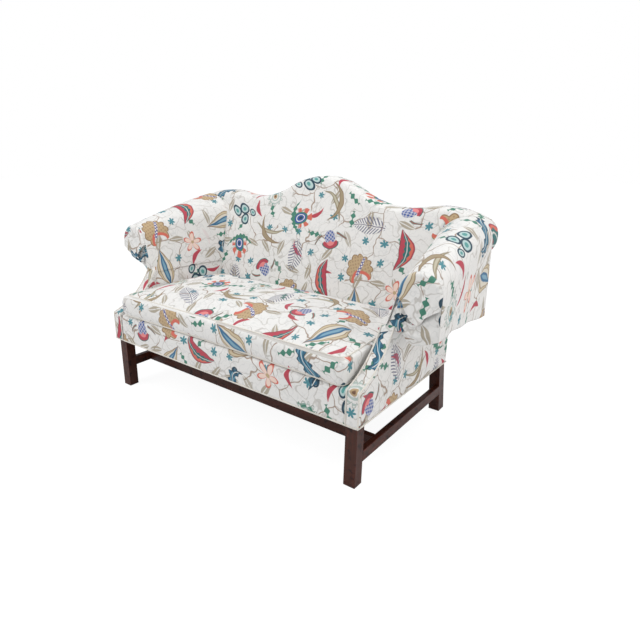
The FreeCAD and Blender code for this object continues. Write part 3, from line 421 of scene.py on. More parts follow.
    def coral_petals(self):
        petals = self.r - abs((self.angle * 2.5).cos()) * 0.56
        return [
            (petals.inside() * (0.08 - self.r).inside(), srgb(232, 206, 192)),
            (petals.near(0.0, 0.045), CORAL),
            ((self.r - 0.1).inside(), TAN),
        ]

    def motifs(self):
        return [
            self.eye_flower(), self.scalloped_leaf(), self.scroll(), self.blades(), self.rose_leaf(),
            self.rings(), self.frond(), self.arrow_leaf(), self.star_wheel(), self.cup_flower(),
            self.coral_petals(),
        ]


def small_sprigs(finish, place, colour):
    """Stars, dots and leaflets on the corners between the large motifs."""
    x, y = finish.split(place)
    x, y = x / (CELL / 2) + 0.5, y / (CELL / 2) + 0.25
    column, row = x.floor(), y.floor()
    chance, x, y = finish.turned_cell(x, y, column, row, 5.0, MANY_TURNS)
    r = (x * x + y * y) ** 0.5
    angle = y.math("ARCTAN2", x)
    star = (r - 0.16 - abs((angle * 3.0).cos()) * 0.26).inside(0.05) * (chance - 0.22).inside(0.01)
    dots = (abs(y) - 0.17 + (x * 10.0).cos() * 0.12).inside(0.05) * (abs(x) - 0.8).inside()
    dots = dots * chance.near(0.4, 0.1, 0.01)
    leaflet = (abs(y - 0.1) - 0.3 * (1.0 - x * x)).inside(0.05) * chance.near(0.7, 0.18, 0.01)
    vein = (abs(y - 0.1) - 0.04).inside(0.05)
    bud = (abs(y + x * x * 0.4) - 0.22 * (1.0 - x * x)).inside(0.05) * chance.near(0.95, 0.06, 0.01)
    colour = finish.mix(star, colour, srgb(70, 132, 142))
    colour = finish.mix(dots, colour, GREEN)
    colour = finish.mix(leaflet * (1.0 - vein) * 0.85, colour, srgb(156, 144, 122))
    return finish.mix(bud, colour, ROSE)


def printed_linen():
    finish = Finish("printed_linen", Specular_IOR_Level=0.25, Sheen_Weight=0.12, Sheen_Roughness=0.5)
    uv = finish.uv()
    wobble = finish.noise(uv, 9.0, 2.0, output="Color")
    shift = finish.node("ShaderNodeVectorMath", {0: wobble, 1: (0.5, 0.5, 0.5)}, operation="SUBTRACT")
    place = finish.shifted(uv, shift, 0.035)

    # Fine drawn tendrils wander under the motifs
    tone = finish.noise(uv, 2.2, 3.0)
    colour = finish.mix(tone, srgb(222, 219, 216), GROUND)
    bent = {"Vector": finish.shifted(uv, shift, 0.13), "Scale": 6.0}
    web = finish.node("ShaderNodeTexVoronoi", bent, output="Distance",
                      voronoi_dimensions="2D", feature="DISTANCE_TO_EDGE")
    gate = (0.47 - finish.noise(uv, 5.0, 1.0)).inside(0.02)
    twigs = (web - 0.013).inside(0.012) * gate
    tendrils = finish.noise(place, 15.0, 1.5).near(0.48, 0.012, 0.01)
    sketch = finish.noise(place, 34.0, 1.0).near(0.5, 0.02, 0.03)
    colour = finish.mix(sketch * 0.14, colour, srgb(120, 128, 128))
    colour = finish.mix(tendrils * 0.42, colour, srgb(150, 140, 128))
    colour = finish.mix(twigs * 0.9, colour, srgb(148, 124, 104))
    colour = small_sprigs(finish, place, colour)
    drawing = Print(finish, place)
    for number, layers in enumerate(drawing.motifs()):
        here = drawing.of_kind(number)
        for mask, tint in layers:
            colour = finish.mix(mask * here, colour, tint)

    # The yarns show as faint cross hatching, with thicker slubs here and there
    u, v = finish.split(uv)
    warp, weft = (u * 5200.0).sin(), (v * 5200.0).sin()
    slub = finish.noise(finish.node("ShaderNodeMapping", {"Vector": uv, "Scale": (40, 900, 1)}), 1.0, 2.0)
    weave = warp * 0.25 + weft * 0.25 + slub * 0.8
    colour = finish.mix(slub * 0.12, colour, srgb(150, 142, 132))
    finish.set("Base Color", colour)
    finish.set("Roughness", slub * 0.12 + 0.78)
    puckers = finish.noise(uv, 55.0, 3.0)
    soft = finish.bump(puckers, 0.25, 0.002)
    finish.set("Normal", finish.bump(weave, 0.3, 0.0003, soft))
    return finish.material


def plain_cloth(name, tint, weave_scale=2600.0, bump=0.35):
    """A plain weave on object coordinates."""
    finish = Finish(name, Roughness=0.9, Specular_IOR_Level=0.2, Sheen_Weight=0.1)
    place = finish.object_place()
    soil = finish.noise(place, 6.0, 4.0)
    yarn = finish.noise(place, 900.0, 1.0)
    finish.set("Base Color", finish.mix(soil * 0.5 + yarn * 0.3, tint, darkened(tint, 0.72)))
    x, y = finish.split(place)
    height = (x * weave_scale).sin() * 0.5 + (y * weave_scale).sin() * 0.5 + yarn
    finish.set("Normal", finish.bump(height, bump, 0.0004))
    return finish.material


def welt_cloth():
    """Bias strips sewn round a cord: a twill that runs round the cord."""
    finish = Finish("welt_cloth", Roughness=0.85, Specular_IOR_Level=0.25, Sheen_Weight=0.15)
    uv = finish.uv()
    u, v = finish.split(uv)
    cord = (u * 900.0 + v * 1400.0).sin()
    stain = finish.noise(uv, 12.0, 3.0)
    printed = finish.noise(uv, 16.0, 1.0).near(0.62, 0.03, 0.03)
    colour = finish.mix(stain * 0.6, srgb(232, 227, 218), srgb(206, 196, 182))
    finish.set("Base Color", finish.mix(printed * 0.5, colour, srgb(112, 122, 126)))
    finish.set("Normal", finish.bump(cord, 0.3, 0.0004))
    return finish.material


def mahogany(name, stretch):
    """Dark red-brown wood with the grain along the axis that is least stretched."""
    finish = Finish(name, Coat_Weight=0.08, Coat_Roughness=0.2, Specular_IOR_Level=0.2)
    place = finish.object_place(stretch)
    figure = finish.noise(place, 1.0, 4.0, Distortion=0.6)
    pores = finish.noise(finish.object_place(tuple(s * 5 for s in stretch)), 1.0, 2.0)
    colour = finish.node("ShaderNodeValToRGB", {"Fac": figure}, ramp=[
        (0.25, srgb(22, 6, 4)), (0.5, srgb(48, 14, 9)), (0.75, srgb(90, 32, 19))])
    colour = finish.mix((0.42 - pores).inside(0.2) * 0.6, colour, srgb(18, 7, 7))
    scuffs = finish.noise(finish.object_place(), 38.0, 5.0)
    finish.set("Base Color", finish.mix((0.62 - scuffs).inside(-0.1) * 0.25, colour, srgb(112, 60, 40)))
    finish.set("Roughness", scuffs * 0.22 + 0.26)
    finish.set("Normal", finish.bump(pores, 0.18, 0.0005))
    return finish.material


def sawn_wood():
    finish = Finish("sawn_wood", Roughness=0.7)
    grain = finish.noise(finish.object_place((30, 8, 30)), 1.0, 4.0, Distortion=0.4)
    finish.set("Base Color", finish.mix(grain, srgb(196, 158, 112), srgb(150, 108, 70)))
    finish.set("Normal", finish.bump(grain, 0.3, 0.0006))
    return finish.material


def metal(name, tint, roughness):
    finish = Finish(name, Metallic=1.0)
    wear = finish.noise(finish.object_place(), 160.0, 4.0)
    finish.set("Base Color", finish.mix(wear, tint, darkened(tint, 0.6)))
    finish.set("Roughness", wear * 0.2 + roughness)
    return finish.material


PRINT = printed_linen()
WELTING = welt_cloth()
DECK = plain_cloth("deck_cloth", srgb(206, 200, 186))
DUST = plain_cloth("dust_cloth", srgb(30, 30, 32), 1800.0)
JUTE = plain_cloth("jute", srgb(168, 136, 92), 1100.0, 0.8)
TAPE = plain_cloth("zipper_tape", srgb(206, 196, 176), 5000.0, 0.6)
LEG_WOOD = mahogany("leg_mahogany", (60, 60, 6))
SIDE_WOOD = mahogany("side_mahogany", (60, 6, 60))
CROSS_WOOD = mahogany("cross_mahogany", (6, 60, 60))
SAWN = sawn_wood()
STEEL = metal("spring_steel", srgb(150, 150, 152), 0.35)
BRASS = metal("brass", srgb(190, 158, 92), 0.3)


# Pieces

def sides(*stems):
    return [stem + end for stem in stems for end in ("_left", "_right")]


def node_mesh(nodes):
    """The meshes of CAD nodes in one bmesh, with their doubles merged."""
    bm = bmesh.new()
    for node in nodes:
        bm.from_mesh(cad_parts[node].data)
    bmesh.ops.remove_doubles(bm, verts=bm.verts, dist=0.00002)
    return bm


def linked(name, data):
    obj = bpy.data.objects.new(name, data)
    bpy.context.scene.collection.objects.link(obj)
    return obj


def make(name, bm, body, material, stands_for=(), smooth=True):
    """Turns a bmesh into a piece that rides on a body."""
    mesh = bpy.data.meshes.new(name)
    for face in bm.faces:
        face.smooth = smooth
    bm.to_mesh(mesh)
    bm.free()
    obj = linked(name, mesh)
    mesh.materials.append(material)
    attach(obj, body)
    if stands_for:
        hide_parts(*stands_for)
    return obj


def with_modifier(bm, kind, **settings):
    """A bmesh after one modifier."""
    mesh = bpy.data.meshes.new("work")
    bm.to_mesh(mesh)
    bm.free()
    obj = linked("work", mesh)
    modifier = obj.modifiers.new("work", kind)
    for setting, choice in settings.items():
        setattr(modifier, setting, choice)
    done = bpy.data.meshes.new_from_object(obj.evaluated_get(bpy.context.evaluated_depsgraph_get()))
    bpy.data.objects.remove(obj)
    out = bmesh.new()
    out.from_mesh(done)
    return out


def soften(bm, rounds):
    for _ in range(rounds):
        bmesh.ops.smooth_vert(bm, verts=bm.verts, factor=0.5,
                              use_axis_x=True, use_axis_y=True, use_axis_z=True)


def remeshed(bm, voxel, softening=3):
    """An even skin over everything in a bmesh, a little rounded at its edges."""
    bm = with_modifier(bm, "REMESH", mode="VOXEL", voxel_size=voxel, adaptivity=0.0)
    soften(bm, softening)
    bmesh.ops.recalc_face_normals(bm, faces=bm.faces)
    return bm


def chart(bm, place_of):
    """Gives every corner its place on the cloth, in metres, from its face and its point."""
    layer = bm.loops.layers.uv.new("UVMap")
    bm.normal_update()
    for face in bm.faces:
        middle = face.calc_center_median()
        for loop in face.loops:
            loop[layer].uv = place_of(loop.vert.co, middle, face.normal)


def ripple(bm, depth, size, seed):
    """Shallow unevenness of stuffed cloth, which swells it by up to the depth."""
    bm.normal_update()
    offset = Vector((seed, seed * 1.7, seed * 0.6))
    moves = [(0.6 + 0.5 * noise.noise(v.co / size + offset)) * depth * v.normal for v in bm.verts]
    for vert, move in zip(bm.verts, moves):
        vert.co += move


# Legs and stretchers: the frame's own shapes with their edges eased

def eased(node, material):
    bm = node_mesh([node])
    bmesh.ops.dissolve_limit(bm, angle_limit=0.02, verts=bm.verts, edges=bm.edges)
    sharp = [edge for edge in bm.edges if len(edge.link_faces) == 2 and edge.calc_face_angle() > 0.5]
    bmesh.ops.bevel(bm, geom=sharp, offset=0.0016, segments=2, profile=0.5, affect="EDGES", material=-1,
                    clamp_overlap=True)
    make(node + "_eased", bm, "frame", material, [node], smooth=False)


for leg in sides("front_leg", "back_leg"):
    eased(leg, LEG_WOOD)
for stretcher in sides("side_stretcher"):
    eased(stretcher, SIDE_WOOD)
eased("cross_stretcher", CROSS_WOOD)

# Hidden pieces keep the frame's shapes
for part_names, hidden_finish in (
        (sides("side_seat_rail", "back_post", "back_upright"), SAWN),
        (sides("arm_post", "arm_wing", "arm_top_rail", "arm_tack_rail"), SAWN),
        (["front_seat_rail", "back_seat_rail", "corner_blocks", "frame_dowels"], SAWN),
        (["crest_rail", "back_tack_rail"], SAWN),
        (["corner_block_screws", "sinuous_springs", "spring_clips"], STEEL),
        (["back_webbing", "seat_burlap"], JUTE),
        (["zipper_tape"], TAPE),
        (["zipper_slider"], BRASS)):
    for part_name in part_names:
        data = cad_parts[part_name].data
        data.materials.clear()
        data.materials.append(hidden_finish)


# Arms and back: one even, softly rounded skin over each stuffed form

def arm_share(y):
    return (y - ARM_FRONT) / (ARM_END - ARM_FRONT)


def roll_size(y):
    """Middle, top, radius and inner radius of an arm's roll."""
    share = arm_share(y)
    x = 0.697 + share * (0.665 - 0.697)
    top = 0.688 + share * (0.797 - 0.688) + 0.009 * 4 * share * (1 - share)
    radius = 0.066 + share * (0.075 - 0.066)
    return x, top, radius, radius + 0.058 * share ** 2


def throat(y):
    """Where the roll's underside meets the arm's outer side."""
    return 0.502 + arm_share(y) * (0.604 - 0.502)


def arm_chart(point, middle, normal):
    x, y, z = abs(point.x), back_of(point.y), point.z
    flip = math.copysign(1, middle.x)
    deep = back_of(middle.y)
    if deep < ARM_FRONT - 0.003 and abs(middle.x) > FACING_INNER - 0.004:
        if normal.x * flip > 0.6:
            return flip * (2.0 - y), z + 0.4
        return flip * x, z + max(0.0, y) * 0.6
    if normal.y < -0.75:
        return flip * (x + 0.3), z + 0.2
    if normal.x * flip > 0.55 and middle.z < throat(deep):
        return flip * (2.0 - y), z + 0.4
    centre_x, top, radius, _ = roll_size(min(max(deep, ARM_FRONT), ARM_END))
    centre_z = top - radius
    if middle.z < centre_z and abs(middle.x) < centre_x:
        return -flip * y, z
    angle = math.atan2(z - centre_z, centre_x - x) % (2 * math.pi)
    return -flip * y, centre_z + radius * angle


def back_chart(point, middle, normal):
    if normal.y > 0.5:
        return -point.x + 0.4, point.z + 1.3
    return point.x, point.z * 0.8 + point.y


def band_chart(point, middle, normal):
    return point.x, MAP_FRONT - (HIGH_SEAM - point.z)


ARM_NODES = ("arm_padding", "inside_arm_cover", "outside_arm_cover", "scroll_panel", "arm_facing", "arm_post",
             "arm_wing", "arm_top_rail", "arm_tack_rail", "side_seat_rail")
ARM_SHOWN = ARM_NODES[:5]
COARSE = 1


def inner_face(y):
    """Where an arm's inside stands below the lean towards the roll."""
    return INNER_FACE - INNER_TAPER * arm_share(y) ** 2.2


def stuff_arm(bm, flip):
    """Closes the hollows inside an arm, so that its skin has no slits."""
    rings = []
    depth, panel, low = 0.008, OUTSIDE_X - 0.0075, 0.350
    for y in (ARM_FRONT + 0.012, ARM_END - 0.012):
        x, top, radius, inner = roll_size(y)
        face, middle, neck = inner_face(y), top - radius, throat(y)
        spots = [(face + 0.012, low), (panel, low), (panel, neck - 0.012), (THROAT_X, neck + 0.006),
                 (x + 0.82 * radius - 0.007, middle - 0.57 * radius + 0.005), (x + radius - depth, middle),
                 (x, top - depth), (x - 0.7 * inner + depth, top - 0.3 * inner - depth),
                 (face + 0.025, 0.460)]
        rings.append([Vector((flip * a, LEG_FRONT + y, b)) for a, b in spots])
    front = [bm.verts.new(spot) for spot in rings[0]]
    far = {tuple(spot): end for spot, end in zip((tuple(v.co) for v in front), rings[1])}
    start = bm.faces.new(front)
    grown = bmesh.ops.extrude_face_region(bm, geom=[start], use_keep_orig=True)["geom"]
    shell = {start}
    for vert in [item for item in grown if isinstance(item, bmesh.types.BMVert)]:
        vert.co = far[tuple(vert.co)]
        shell.update(vert.link_faces)
    bmesh.ops.recalc_face_normals(bm, faces=list(shell))
    stuff_box(bm, (flip * 0.582, 0.012, 0.245), (flip * 0.611, 0.640, 0.335))


def stuff_box(bm, low, high, lean=0.0):
    """A block inside a piece, whose top leans back."""
    corners = bmesh.ops.create_cube(bm, size=1)["verts"]
    for vert in corners:
        spot = [a + (b - a) * (share + 0.5) for a, b, share in zip(low, high, vert.co)]
        vert.co = Vector((spot[0], LEG_FRONT + spot[1] + (lean if vert.co.z > 0 else 0.0), spot[2]))
    bmesh.ops.recalc_face_normals(bm, faces=list({face for vert in corners for face in vert.link_faces}))


for side, flip in (("left", 1), ("right", -1)):
    skin = node_mesh([stem + "_" + side for stem in ARM_NODES])
    stuff_arm(skin, flip)
    skin = remeshed(skin, 0.005 * COARSE)
    ripple(skin, 0.0018, 0.09, 3.1 if side == "left" else 7.7)
    chart(skin, arm_chart)
    arm = make("arm_upholstery_" + side, skin, "frame", PRINT,
               [stem + "_" + side for stem in ARM_SHOWN])

skin = node_mesh(["back_padding", "inside_back_cover", "outside_back_cover", "crest_rail", "back_tack_rail",
                  "back_seat_rail", "back_webbing"] + sides("back_post", "back_upright"))
rail_back, rail_top = back_of(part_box("back_seat_rail")[1].y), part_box("back_seat_rail")[1].z
stuffed_to = 0.400
stuff_box(skin, (-0.600, rail_back - 0.030, rail_top - 0.010), (0.600, rail_back - 0.003, stuffed_to),
          lean=(stuffed_to - rail_top) * math.tan(BACK_RAKE))
skin = remeshed(skin, 0.0055 * COARSE)
ripple(skin, 0.0025, 0.13, 5.2)
chart(skin, back_chart)
back = make("back_upholstery", skin, "frame", PRINT,
            ["back_padding", "inside_back_cover", "outside_back_cover"])

skin = remeshed(node_mesh(["front_band_pad", "front_band_cover", "front_seat_rail"]), 0.004 * COARSE, 1)
ripple(skin, 0.0015, 0.1, 2.4)
chart(skin, band_chart)
band = make("front_band", skin, "frame", PRINT, ["front_band_pad", "front_band_cover"])

skin = remeshed(node_mesh(["deck_pad", "deck_cloth"]), 0.01, 1)
ripple(skin, 0.002, 0.1, 6.4)
deck = make("seat_deck", skin, "frame", DECK, ["deck_pad", "deck_cloth"])


# Dust cover: thin cloth tacked under the rails, which hangs a little in the middle

def dust_cover():
    bm = node_mesh(["dust_cover"])
    panes = 12
    for step in range(1, panes):
        for axis, low, high in ((Vector((1, 0, 0)), -0.606, 0.606), (Vector((0, 1, 0)), -0.355, 0.294)):
            cut_at = axis * (low + (high - low) * step / panes)
            geometry = bm.verts[:] + bm.edges[:] + bm.faces[:]
            bmesh.ops.bisect_plane(bm, geom=geometry, plane_co=cut_at, plane_no=axis)
    for vert in bm.verts:
        across = max(0.0, 1 - (vert.co.x / 0.56) ** 2)
        along = max(0.0, 1 - ((vert.co.y + 0.03) / 0.29) ** 2)
        vert.co.z -= 0.004 * across * along
    obj = make("dust_cloth_underneath", bm, "frame", DUST, ["dust_cover"], smooth=False)


dust_cover()


# Loose cushion

def cushion():
    """The cushion blown up from a slightly smaller copy, then drawn in at its two seams."""
    voxel = 0.006
    bm = remeshed(node_mesh(["cushion_cover", "cushion_filling", "zipper_tape"]), voxel, 2)
    bm.normal_update()
    bm = blown(bm)
    for vert in bm.verts:
        for seam in (LOW_SEAM, HIGH_SEAM):
            pinch = math.exp(-((vert.co.z - seam) / 0.006) ** 2)
            flat = 1 - abs(vert.normal.z)
            vert.co -= vert.normal * 0.0025 * pinch * (0.3 + 0.7 * flat)
    return bm


def blown(bm):
    """Cloth under pressure, held near where it started."""
    start = [vert.co.copy() for vert in bm.verts]
    normals = [vert.normal.copy() for vert in bm.verts]
    for vert, normal in zip(bm.verts, normals):
        vert.co -= normal * 0.004
    mesh = bpy.data.meshes.new("pillow")
    bm.to_mesh(mesh)
    obj = linked("pillow", mesh)
    cloth = obj.modifiers.new("cloth", "CLOTH")
    cloth.settings.use_pressure = True
    cloth.settings.uniform_pressure_force = 4.0
    cloth.settings.mass = 0.3
    cloth.settings.tension_stiffness = 30
    cloth.settings.compression_stiffness = 30
    cloth.settings.bending_stiffness = 0.8
    cloth.settings.effector_weights.gravity = 0.0
    steps = 20
    cloth.point_cache.frame_start = 1
    cloth.point_cache.frame_end = steps
    scene = bpy.context.scene
    for number in range(1, steps + 1):
        scene.frame_set(number)
    done = obj.evaluated_get(bpy.context.evaluated_depsgraph_get()).to_mesh()
    ends = [vert.co.copy() for vert in done.vertices]
    scene.frame_set(1)
    bpy.data.objects.remove(obj)
    risen = [end.z - begun.z for begun, normal, end in zip(start, normals, ends) if normal.z > 0.7]
    lift = sum(risen) / len(risen)
    for vert, begun, normal, end in zip(bm.verts, start, normals, ends):
        move = end - begun
        upward = max(0.0, normal.z)
        move.z -= lift * upward
        limit = 0.003 + 0.006 * upward
        if normal.z < -0.5 or begun.z < LOW_SEAM - 0.002:
            limit = 0.0004
        if move.length > limit:
            move *= limit / move.length
        vert.co = begun + move
        vert.co.z = max(vert.co.z, DECK_TOP + 0.0004)
    soften(bm, 3)
    bm.normal_update()
    return bm


def cushion_chart(point, middle, normal):
    if middle.z > HIGH_SEAM or middle.z < LOW_SEAM:
        return point.x, point.y
    if normal.y < -0.6:
        return point.x, MAP_FRONT - (HIGH_SEAM - point.z)
    if normal.y > 0.6:
        return -point.x + 0.8, point.z
    flip = math.copysign(1, middle.x)
    return flip * (0.563 + back_of(point.y)), MAP_FRONT - (HIGH_SEAM - point.z)


bm = cushion()
cushion_tree = BVHTree.FromBMesh(bm)
chart(bm, cushion_chart)
seat = make("seat_cushion_cover", bm, "seat_cushion", PRINT,
            ["cushion_cover", "cushion_filling"])


# Welts: cords in a sewn fold, each one tube

def welt(name, body, points, closed, stands_for=(), radius=WELT):
    """A tube along points, with its place along the cord in its map."""
    curve = bpy.data.curves.new("path", "CURVE")
    curve.dimensions = "3D"
    curve.bevel_depth = radius
    curve.bevel_resolution = 3
    curve.use_fill_caps = not closed
    spline = curve.splines.new("POLY")
    spline.points.add(len(points) - 1)
    for target, co in zip(spline.points, points):
        target.co = (*co, 1.0)
    spline.use_cyclic_u = closed
    obj = linked("path", curve)
    mesh = bpy.data.meshes.new_from_object(obj.evaluated_get(bpy.context.evaluated_depsgraph_get()))
    bpy.data.objects.remove(obj)
    bm = bmesh.new()
    bm.from_mesh(mesh)
    bmesh.ops.remove_doubles(bm, verts=bm.verts, dist=0.00001)
    bmesh.ops.recalc_face_normals(bm, faces=bm.faces)
    chart(bm, lambda co, middle, normal: (co.x + co.y * 0.8, co.z + co.y * 0.3))
    return make(name, bm, body, WELTING, stands_for)


def spread_points(corners, step=0.012):
    """Points at even steps along straight and curved runs."""
    points = [corners[0]]
    for a, b in zip(corners, corners[1:]):
        count = max(1, round((b - a).length / step))
        points += [a.lerp(b, k / count) for k in range(1, count + 1)]
    return points


def arc_through(a, middle, b, count=24):
    """Points on the arc through three points in a plane across X, as (y, z)."""
    (ax, ay), (bx, by), (cx, cy) = a, middle, b
    d = 2 * (ax * (by - cy) + bx * (cy - ay) + cx * (ay - by))
    aa, bb, cc = ax * ax + ay * ay, bx * bx + by * by, cx * cx + cy * cy
    ux = (aa * (by - cy) + bb * (cy - ay) + cc * (ay - by)) / d
    uy = (aa * (cx - bx) + bb * (ax - cx) + cc * (bx - ax)) / d
    radius = math.hypot(ax - ux, ay - uy)
    start = math.atan2(ay - uy, ax - ux)
    turn = (math.atan2(cy - uy, cx - ux) - start + math.pi) % (2 * math.pi) - math.pi
    angles = [start + turn * k / count for k in range(count + 1)]
    return [(ux + radius * math.cos(angle), uy + radius * math.sin(angle)) for angle in angles]


def facing_line(x, proud):
    """The front edge of the arm's base, from the bottom up the sweep to the roll."""
    front, foot = BAND_FRONT - proud, 0.345
    middle = (0.112 - proud * 0.7, 0.410 + proud * 0.7)
    sweep = arc_through((back_of(front), foot), middle, (0.202 - proud, 0.532))
    points = spread_points([Vector((x, front, FABRIC_BOTTOM)), Vector((x, front, foot))])
    points += [Vector((x, y + LEG_FRONT, z)) for y, z in sweep[1:] if y < ARM_FRONT]
    return points


for side, flip in (("left", 1), ("right", -1)):
    for edge_name, x in (("inner", FACING_INNER + 0.001), ("outer", FACING_OUTER - 0.003)):
        welt("facing_welt_" + edge_name + "_" + side, "frame", facing_line(flip * x, 0.0012), False,
             ["facing_welts"] if (side, edge_name) == ("left", "inner") else ())


def bottom_line():
    """Along the fabric's bottom edge, from one back leg round the front to the other."""
    front, back, r = BAND_FRONT, LEG_FRONT + 0.660, 0.010
    z = FABRIC_BOTTOM
    turns = [math.radians(-15 * k) for k in range(1, 7)]
    half = [Vector((OUTSIDE_X, back, z)), Vector((OUTSIDE_X, front + r, z))]
    half += [Vector((OUTSIDE_X - r + r * math.cos(a), front + r + r * math.sin(a), z)) for a in turns]
    other = [Vector((-p.x, p.y, p.z)) for p in reversed(half)]
    return spread_points(half + other)


welt("bottom_edge_welt", "frame", bottom_line(), False, ["bottom_welt"])


def seam_line(height):
    """Round the cushion's side at a seam, on its surface."""
    points = []
    centre = Vector((0, LEG_FRONT + 0.26, height))
    count = 360
    for k in range(count):
        angle = 2 * math.pi * k / count
        far = centre + Vector((math.cos(angle) * 1.2, math.sin(angle) * 0.9, 0))
        hit = cushion_tree.ray_cast(far, centre - far)
        points.append(hit[0] + (far - centre).normalized() * 0.0008)
    return points


def even(points, step):
    """A closed line again at even steps."""
    out = [points[0]]
    gone = 0.0
    for a, b in zip(points, points[1:] + points[:1]):
        length = (b - a).length
        while length > 0 and gone + length >= step:
            a = a.lerp(b, (step - gone) / length)
            out.append(a)
            length = (b - a).length
            gone = 0.0
        gone += length
    if (out[-1] - out[0]).length < step / 2:
        out.pop()
    return out


def smoothed(points, rounds):
    for _ in range(rounds):
        after = points[1:] + points[:1]
        points = [(points[k - 1] + points[k] * 2 + after[k]) / 4 for k in range(len(points))]
    return points


for label, height in (("lower", LOW_SEAM), ("upper", HIGH_SEAM)):
    line = smoothed(even(seam_line(height), 0.006), 4)
    welt("cushion_welt_" + label, "seat_cushion", line, True, ["cushion_welts"] if label == "lower" else ())


# Loose arm covers

COVER_EDGE = 0.486          # height of the edge inside the arm
COVER_PROUD = 0.0026
COVER_FRONT = ARM_FRONT - 0.006


def section_line(y, proud):
    """From the cover's inner edge over the roll to its widest point, as (x, z)."""
    centre_x, top, radius, inner = roll_size(max(y, ARM_FRONT))
    face = inner_face(max(y, ARM_FRONT)) - proud
    inner_radius = inner + proud
    inner_z = top - inner
    reach_x, reach_z = face - centre_x, INNER_KINK - inner_z
    spread = math.acos(inner_radius / math.hypot(reach_x, reach_z))
    start = math.atan2(reach_z, reach_x) % (2 * math.pi) - spread
    touch = (centre_x + inner_radius * math.cos(start), inner_z + inner_radius * math.sin(start))
    share_up = (COVER_EDGE - INNER_KINK) / (touch[1] - INNER_KINK)
    edge = (face + (touch[0] - face) * share_up, COVER_EDGE)
    line = [edge]
    for k in range(1, 6):
        line.append((edge[0] + (touch[0] - edge[0]) * k / 5, edge[1] + (touch[1] - edge[1]) * k / 5))
    for k in range(1, 25):
        angle = start + (math.pi / 2 - start) * k / 24
        line.append((centre_x + inner_radius * math.cos(angle), inner_z + inner_radius * math.sin(angle)))
    outer_radius = radius + proud
    outer_z = top - radius
    for k in range(1, 19):
        angle = math.pi / 2 * (1 - k / 18)
        line.append((centre_x + outer_radius * math.cos(angle), outer_z + outer_radius * math.sin(angle)))
    return line


def hem_height(y, flip):
    """Straight along the side, but at the front it sags on one arm and is drawn up on the other."""
    straight = 0.495 - 0.132 * (y - 0.276)
    if flip > 0:
        return straight - 0.25 * max(0.0, 0.276 - y)
    drawn_up = 0.590 - 1.3 * max(0.0, y - 0.195)
    return straight + max(0.0, drawn_up - straight)


def along_line(line, lengths, distance):
    """The point at a distance along a line."""
    for k in range(1, len(line)):
        if lengths[k] >= distance or k == len(line) - 1:
            share = (distance - lengths[k - 1]) / max(1e-9, lengths[k] - lengths[k - 1])
            return (line[k - 1][0] + (line[k][0] - line[k - 1][0]) * share,
                    line[k - 1][1] + (line[k][1] - line[k - 1][1]) * share)


def at_share(line, share):
    """The point at a share of a line's length, that distance, and the whole length."""
    lengths = [0.0]
    for a, b in zip(line, line[1:]):
        lengths.append(lengths[-1] + math.hypot(b[0] - a[0], b[1] - a[1]))
    x, z = along_line(line, lengths, share * lengths[-1])
    return x, z, share * lengths[-1], lengths[-1]


def cover_point(y, share, flip):
    """A point on the cover at a share of its width, from the inner edge to the hem outside."""
    line = section_line(y, COVER_PROUD)
    return at_share(line + [(line[-1][0], hem_height(y, flip))], share)


def thicken(piece):
    thick = piece.modifiers.new("thickness", "SOLIDIFY")
    thick.thickness = 0.0016
    thick.offset = 0.0


def arm_cover(side, flip):
    across, along = ((120, 100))
    front, back_end = COVER_FRONT, ARM_END - 0.006
    bm = bmesh.new()
    bmesh.ops.create_grid(bm, x_segments=across, y_segments=along, size=0.5)
    layer = bm.loops.layers.uv.new("UVMap")
    places = {}
    for vert in bm.verts:
        share, deep = vert.co.x + 0.5, vert.co.y + 0.5
        y = front + (back_end - front) * deep
        x, z, distance, whole = cover_point(y, share, flip)
        drop = max(0.0, (distance - whole * 0.62) / (whole * 0.38))
        fold = math.sin(deep * 15 + 1.3 + flip * 0.6) * 0.0025 + math.sin(deep * 7.0 + 0.5) * 0.003
        away = min(1.0, deep * 8)
        sway = (fold + 0.0055) * drop * away
        wrinkle = noise.noise(Vector((distance * 9, y * 7, 4.0 * flip))) * 0.0016
        places[vert] = (y, distance)
        puff = abs(wrinkle) * away if distance > 0.1 else 0
        vert.co = Vector((flip * (x + sway + puff), LEG_FRONT + y, z + abs(wrinkle) * 0.4))
    for face in bm.faces:
        for loop in face.loops:
            y, distance = places[loop.vert]
            loop[layer].uv = (-flip * y, distance + COVER_EDGE)
    if flip > 0:
        bmesh.ops.reverse_faces(bm, faces=bm.faces)
    body = "arm_cover_" + side
    piece = make("arm_cover_cloth_" + side, bm, body, PRINT, [body])
    thicken(piece)


def front_cloth(name, side, flip, top, hem, depth_at):
    """A sheet in front of a roll, ruled from its top line down to its hem, both given as (x, z)."""
    across, down = ((90, 50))
    bm = bmesh.new()
    bmesh.ops.create_grid(bm, x_segments=across, y_segments=down, size=0.5)
    for vert in bm.verts:
        share, fall = vert.co.x + 0.5, 0.5 - vert.co.y
        start_x, start_z, _, _ = at_share(top, share)
        end_x, end_z, _, _ = at_share(hem, share)
        x, z = start_x + (end_x - start_x) * fall, start_z + (end_z - start_z) * fall
        gone = math.hypot(x - start_x, z - start_z)
        vert.co = Vector((flip * x, LEG_FRONT + COVER_FRONT - depth_at(x, z, share, fall, gone), z))
    bmesh.ops.recalc_face_normals(bm, faces=bm.faces)
    if sum(face.normal.y for face in bm.faces) > 0:
        bmesh.ops.reverse_faces(bm, faces=bm.faces)
    chart(bm, lambda point, middle, normal: (point.x + flip * 0.3, point.z + 0.2))
    piece = make(name + "_" + side, bm, "arm_cover_" + side, PRINT)
    thicken(piece)


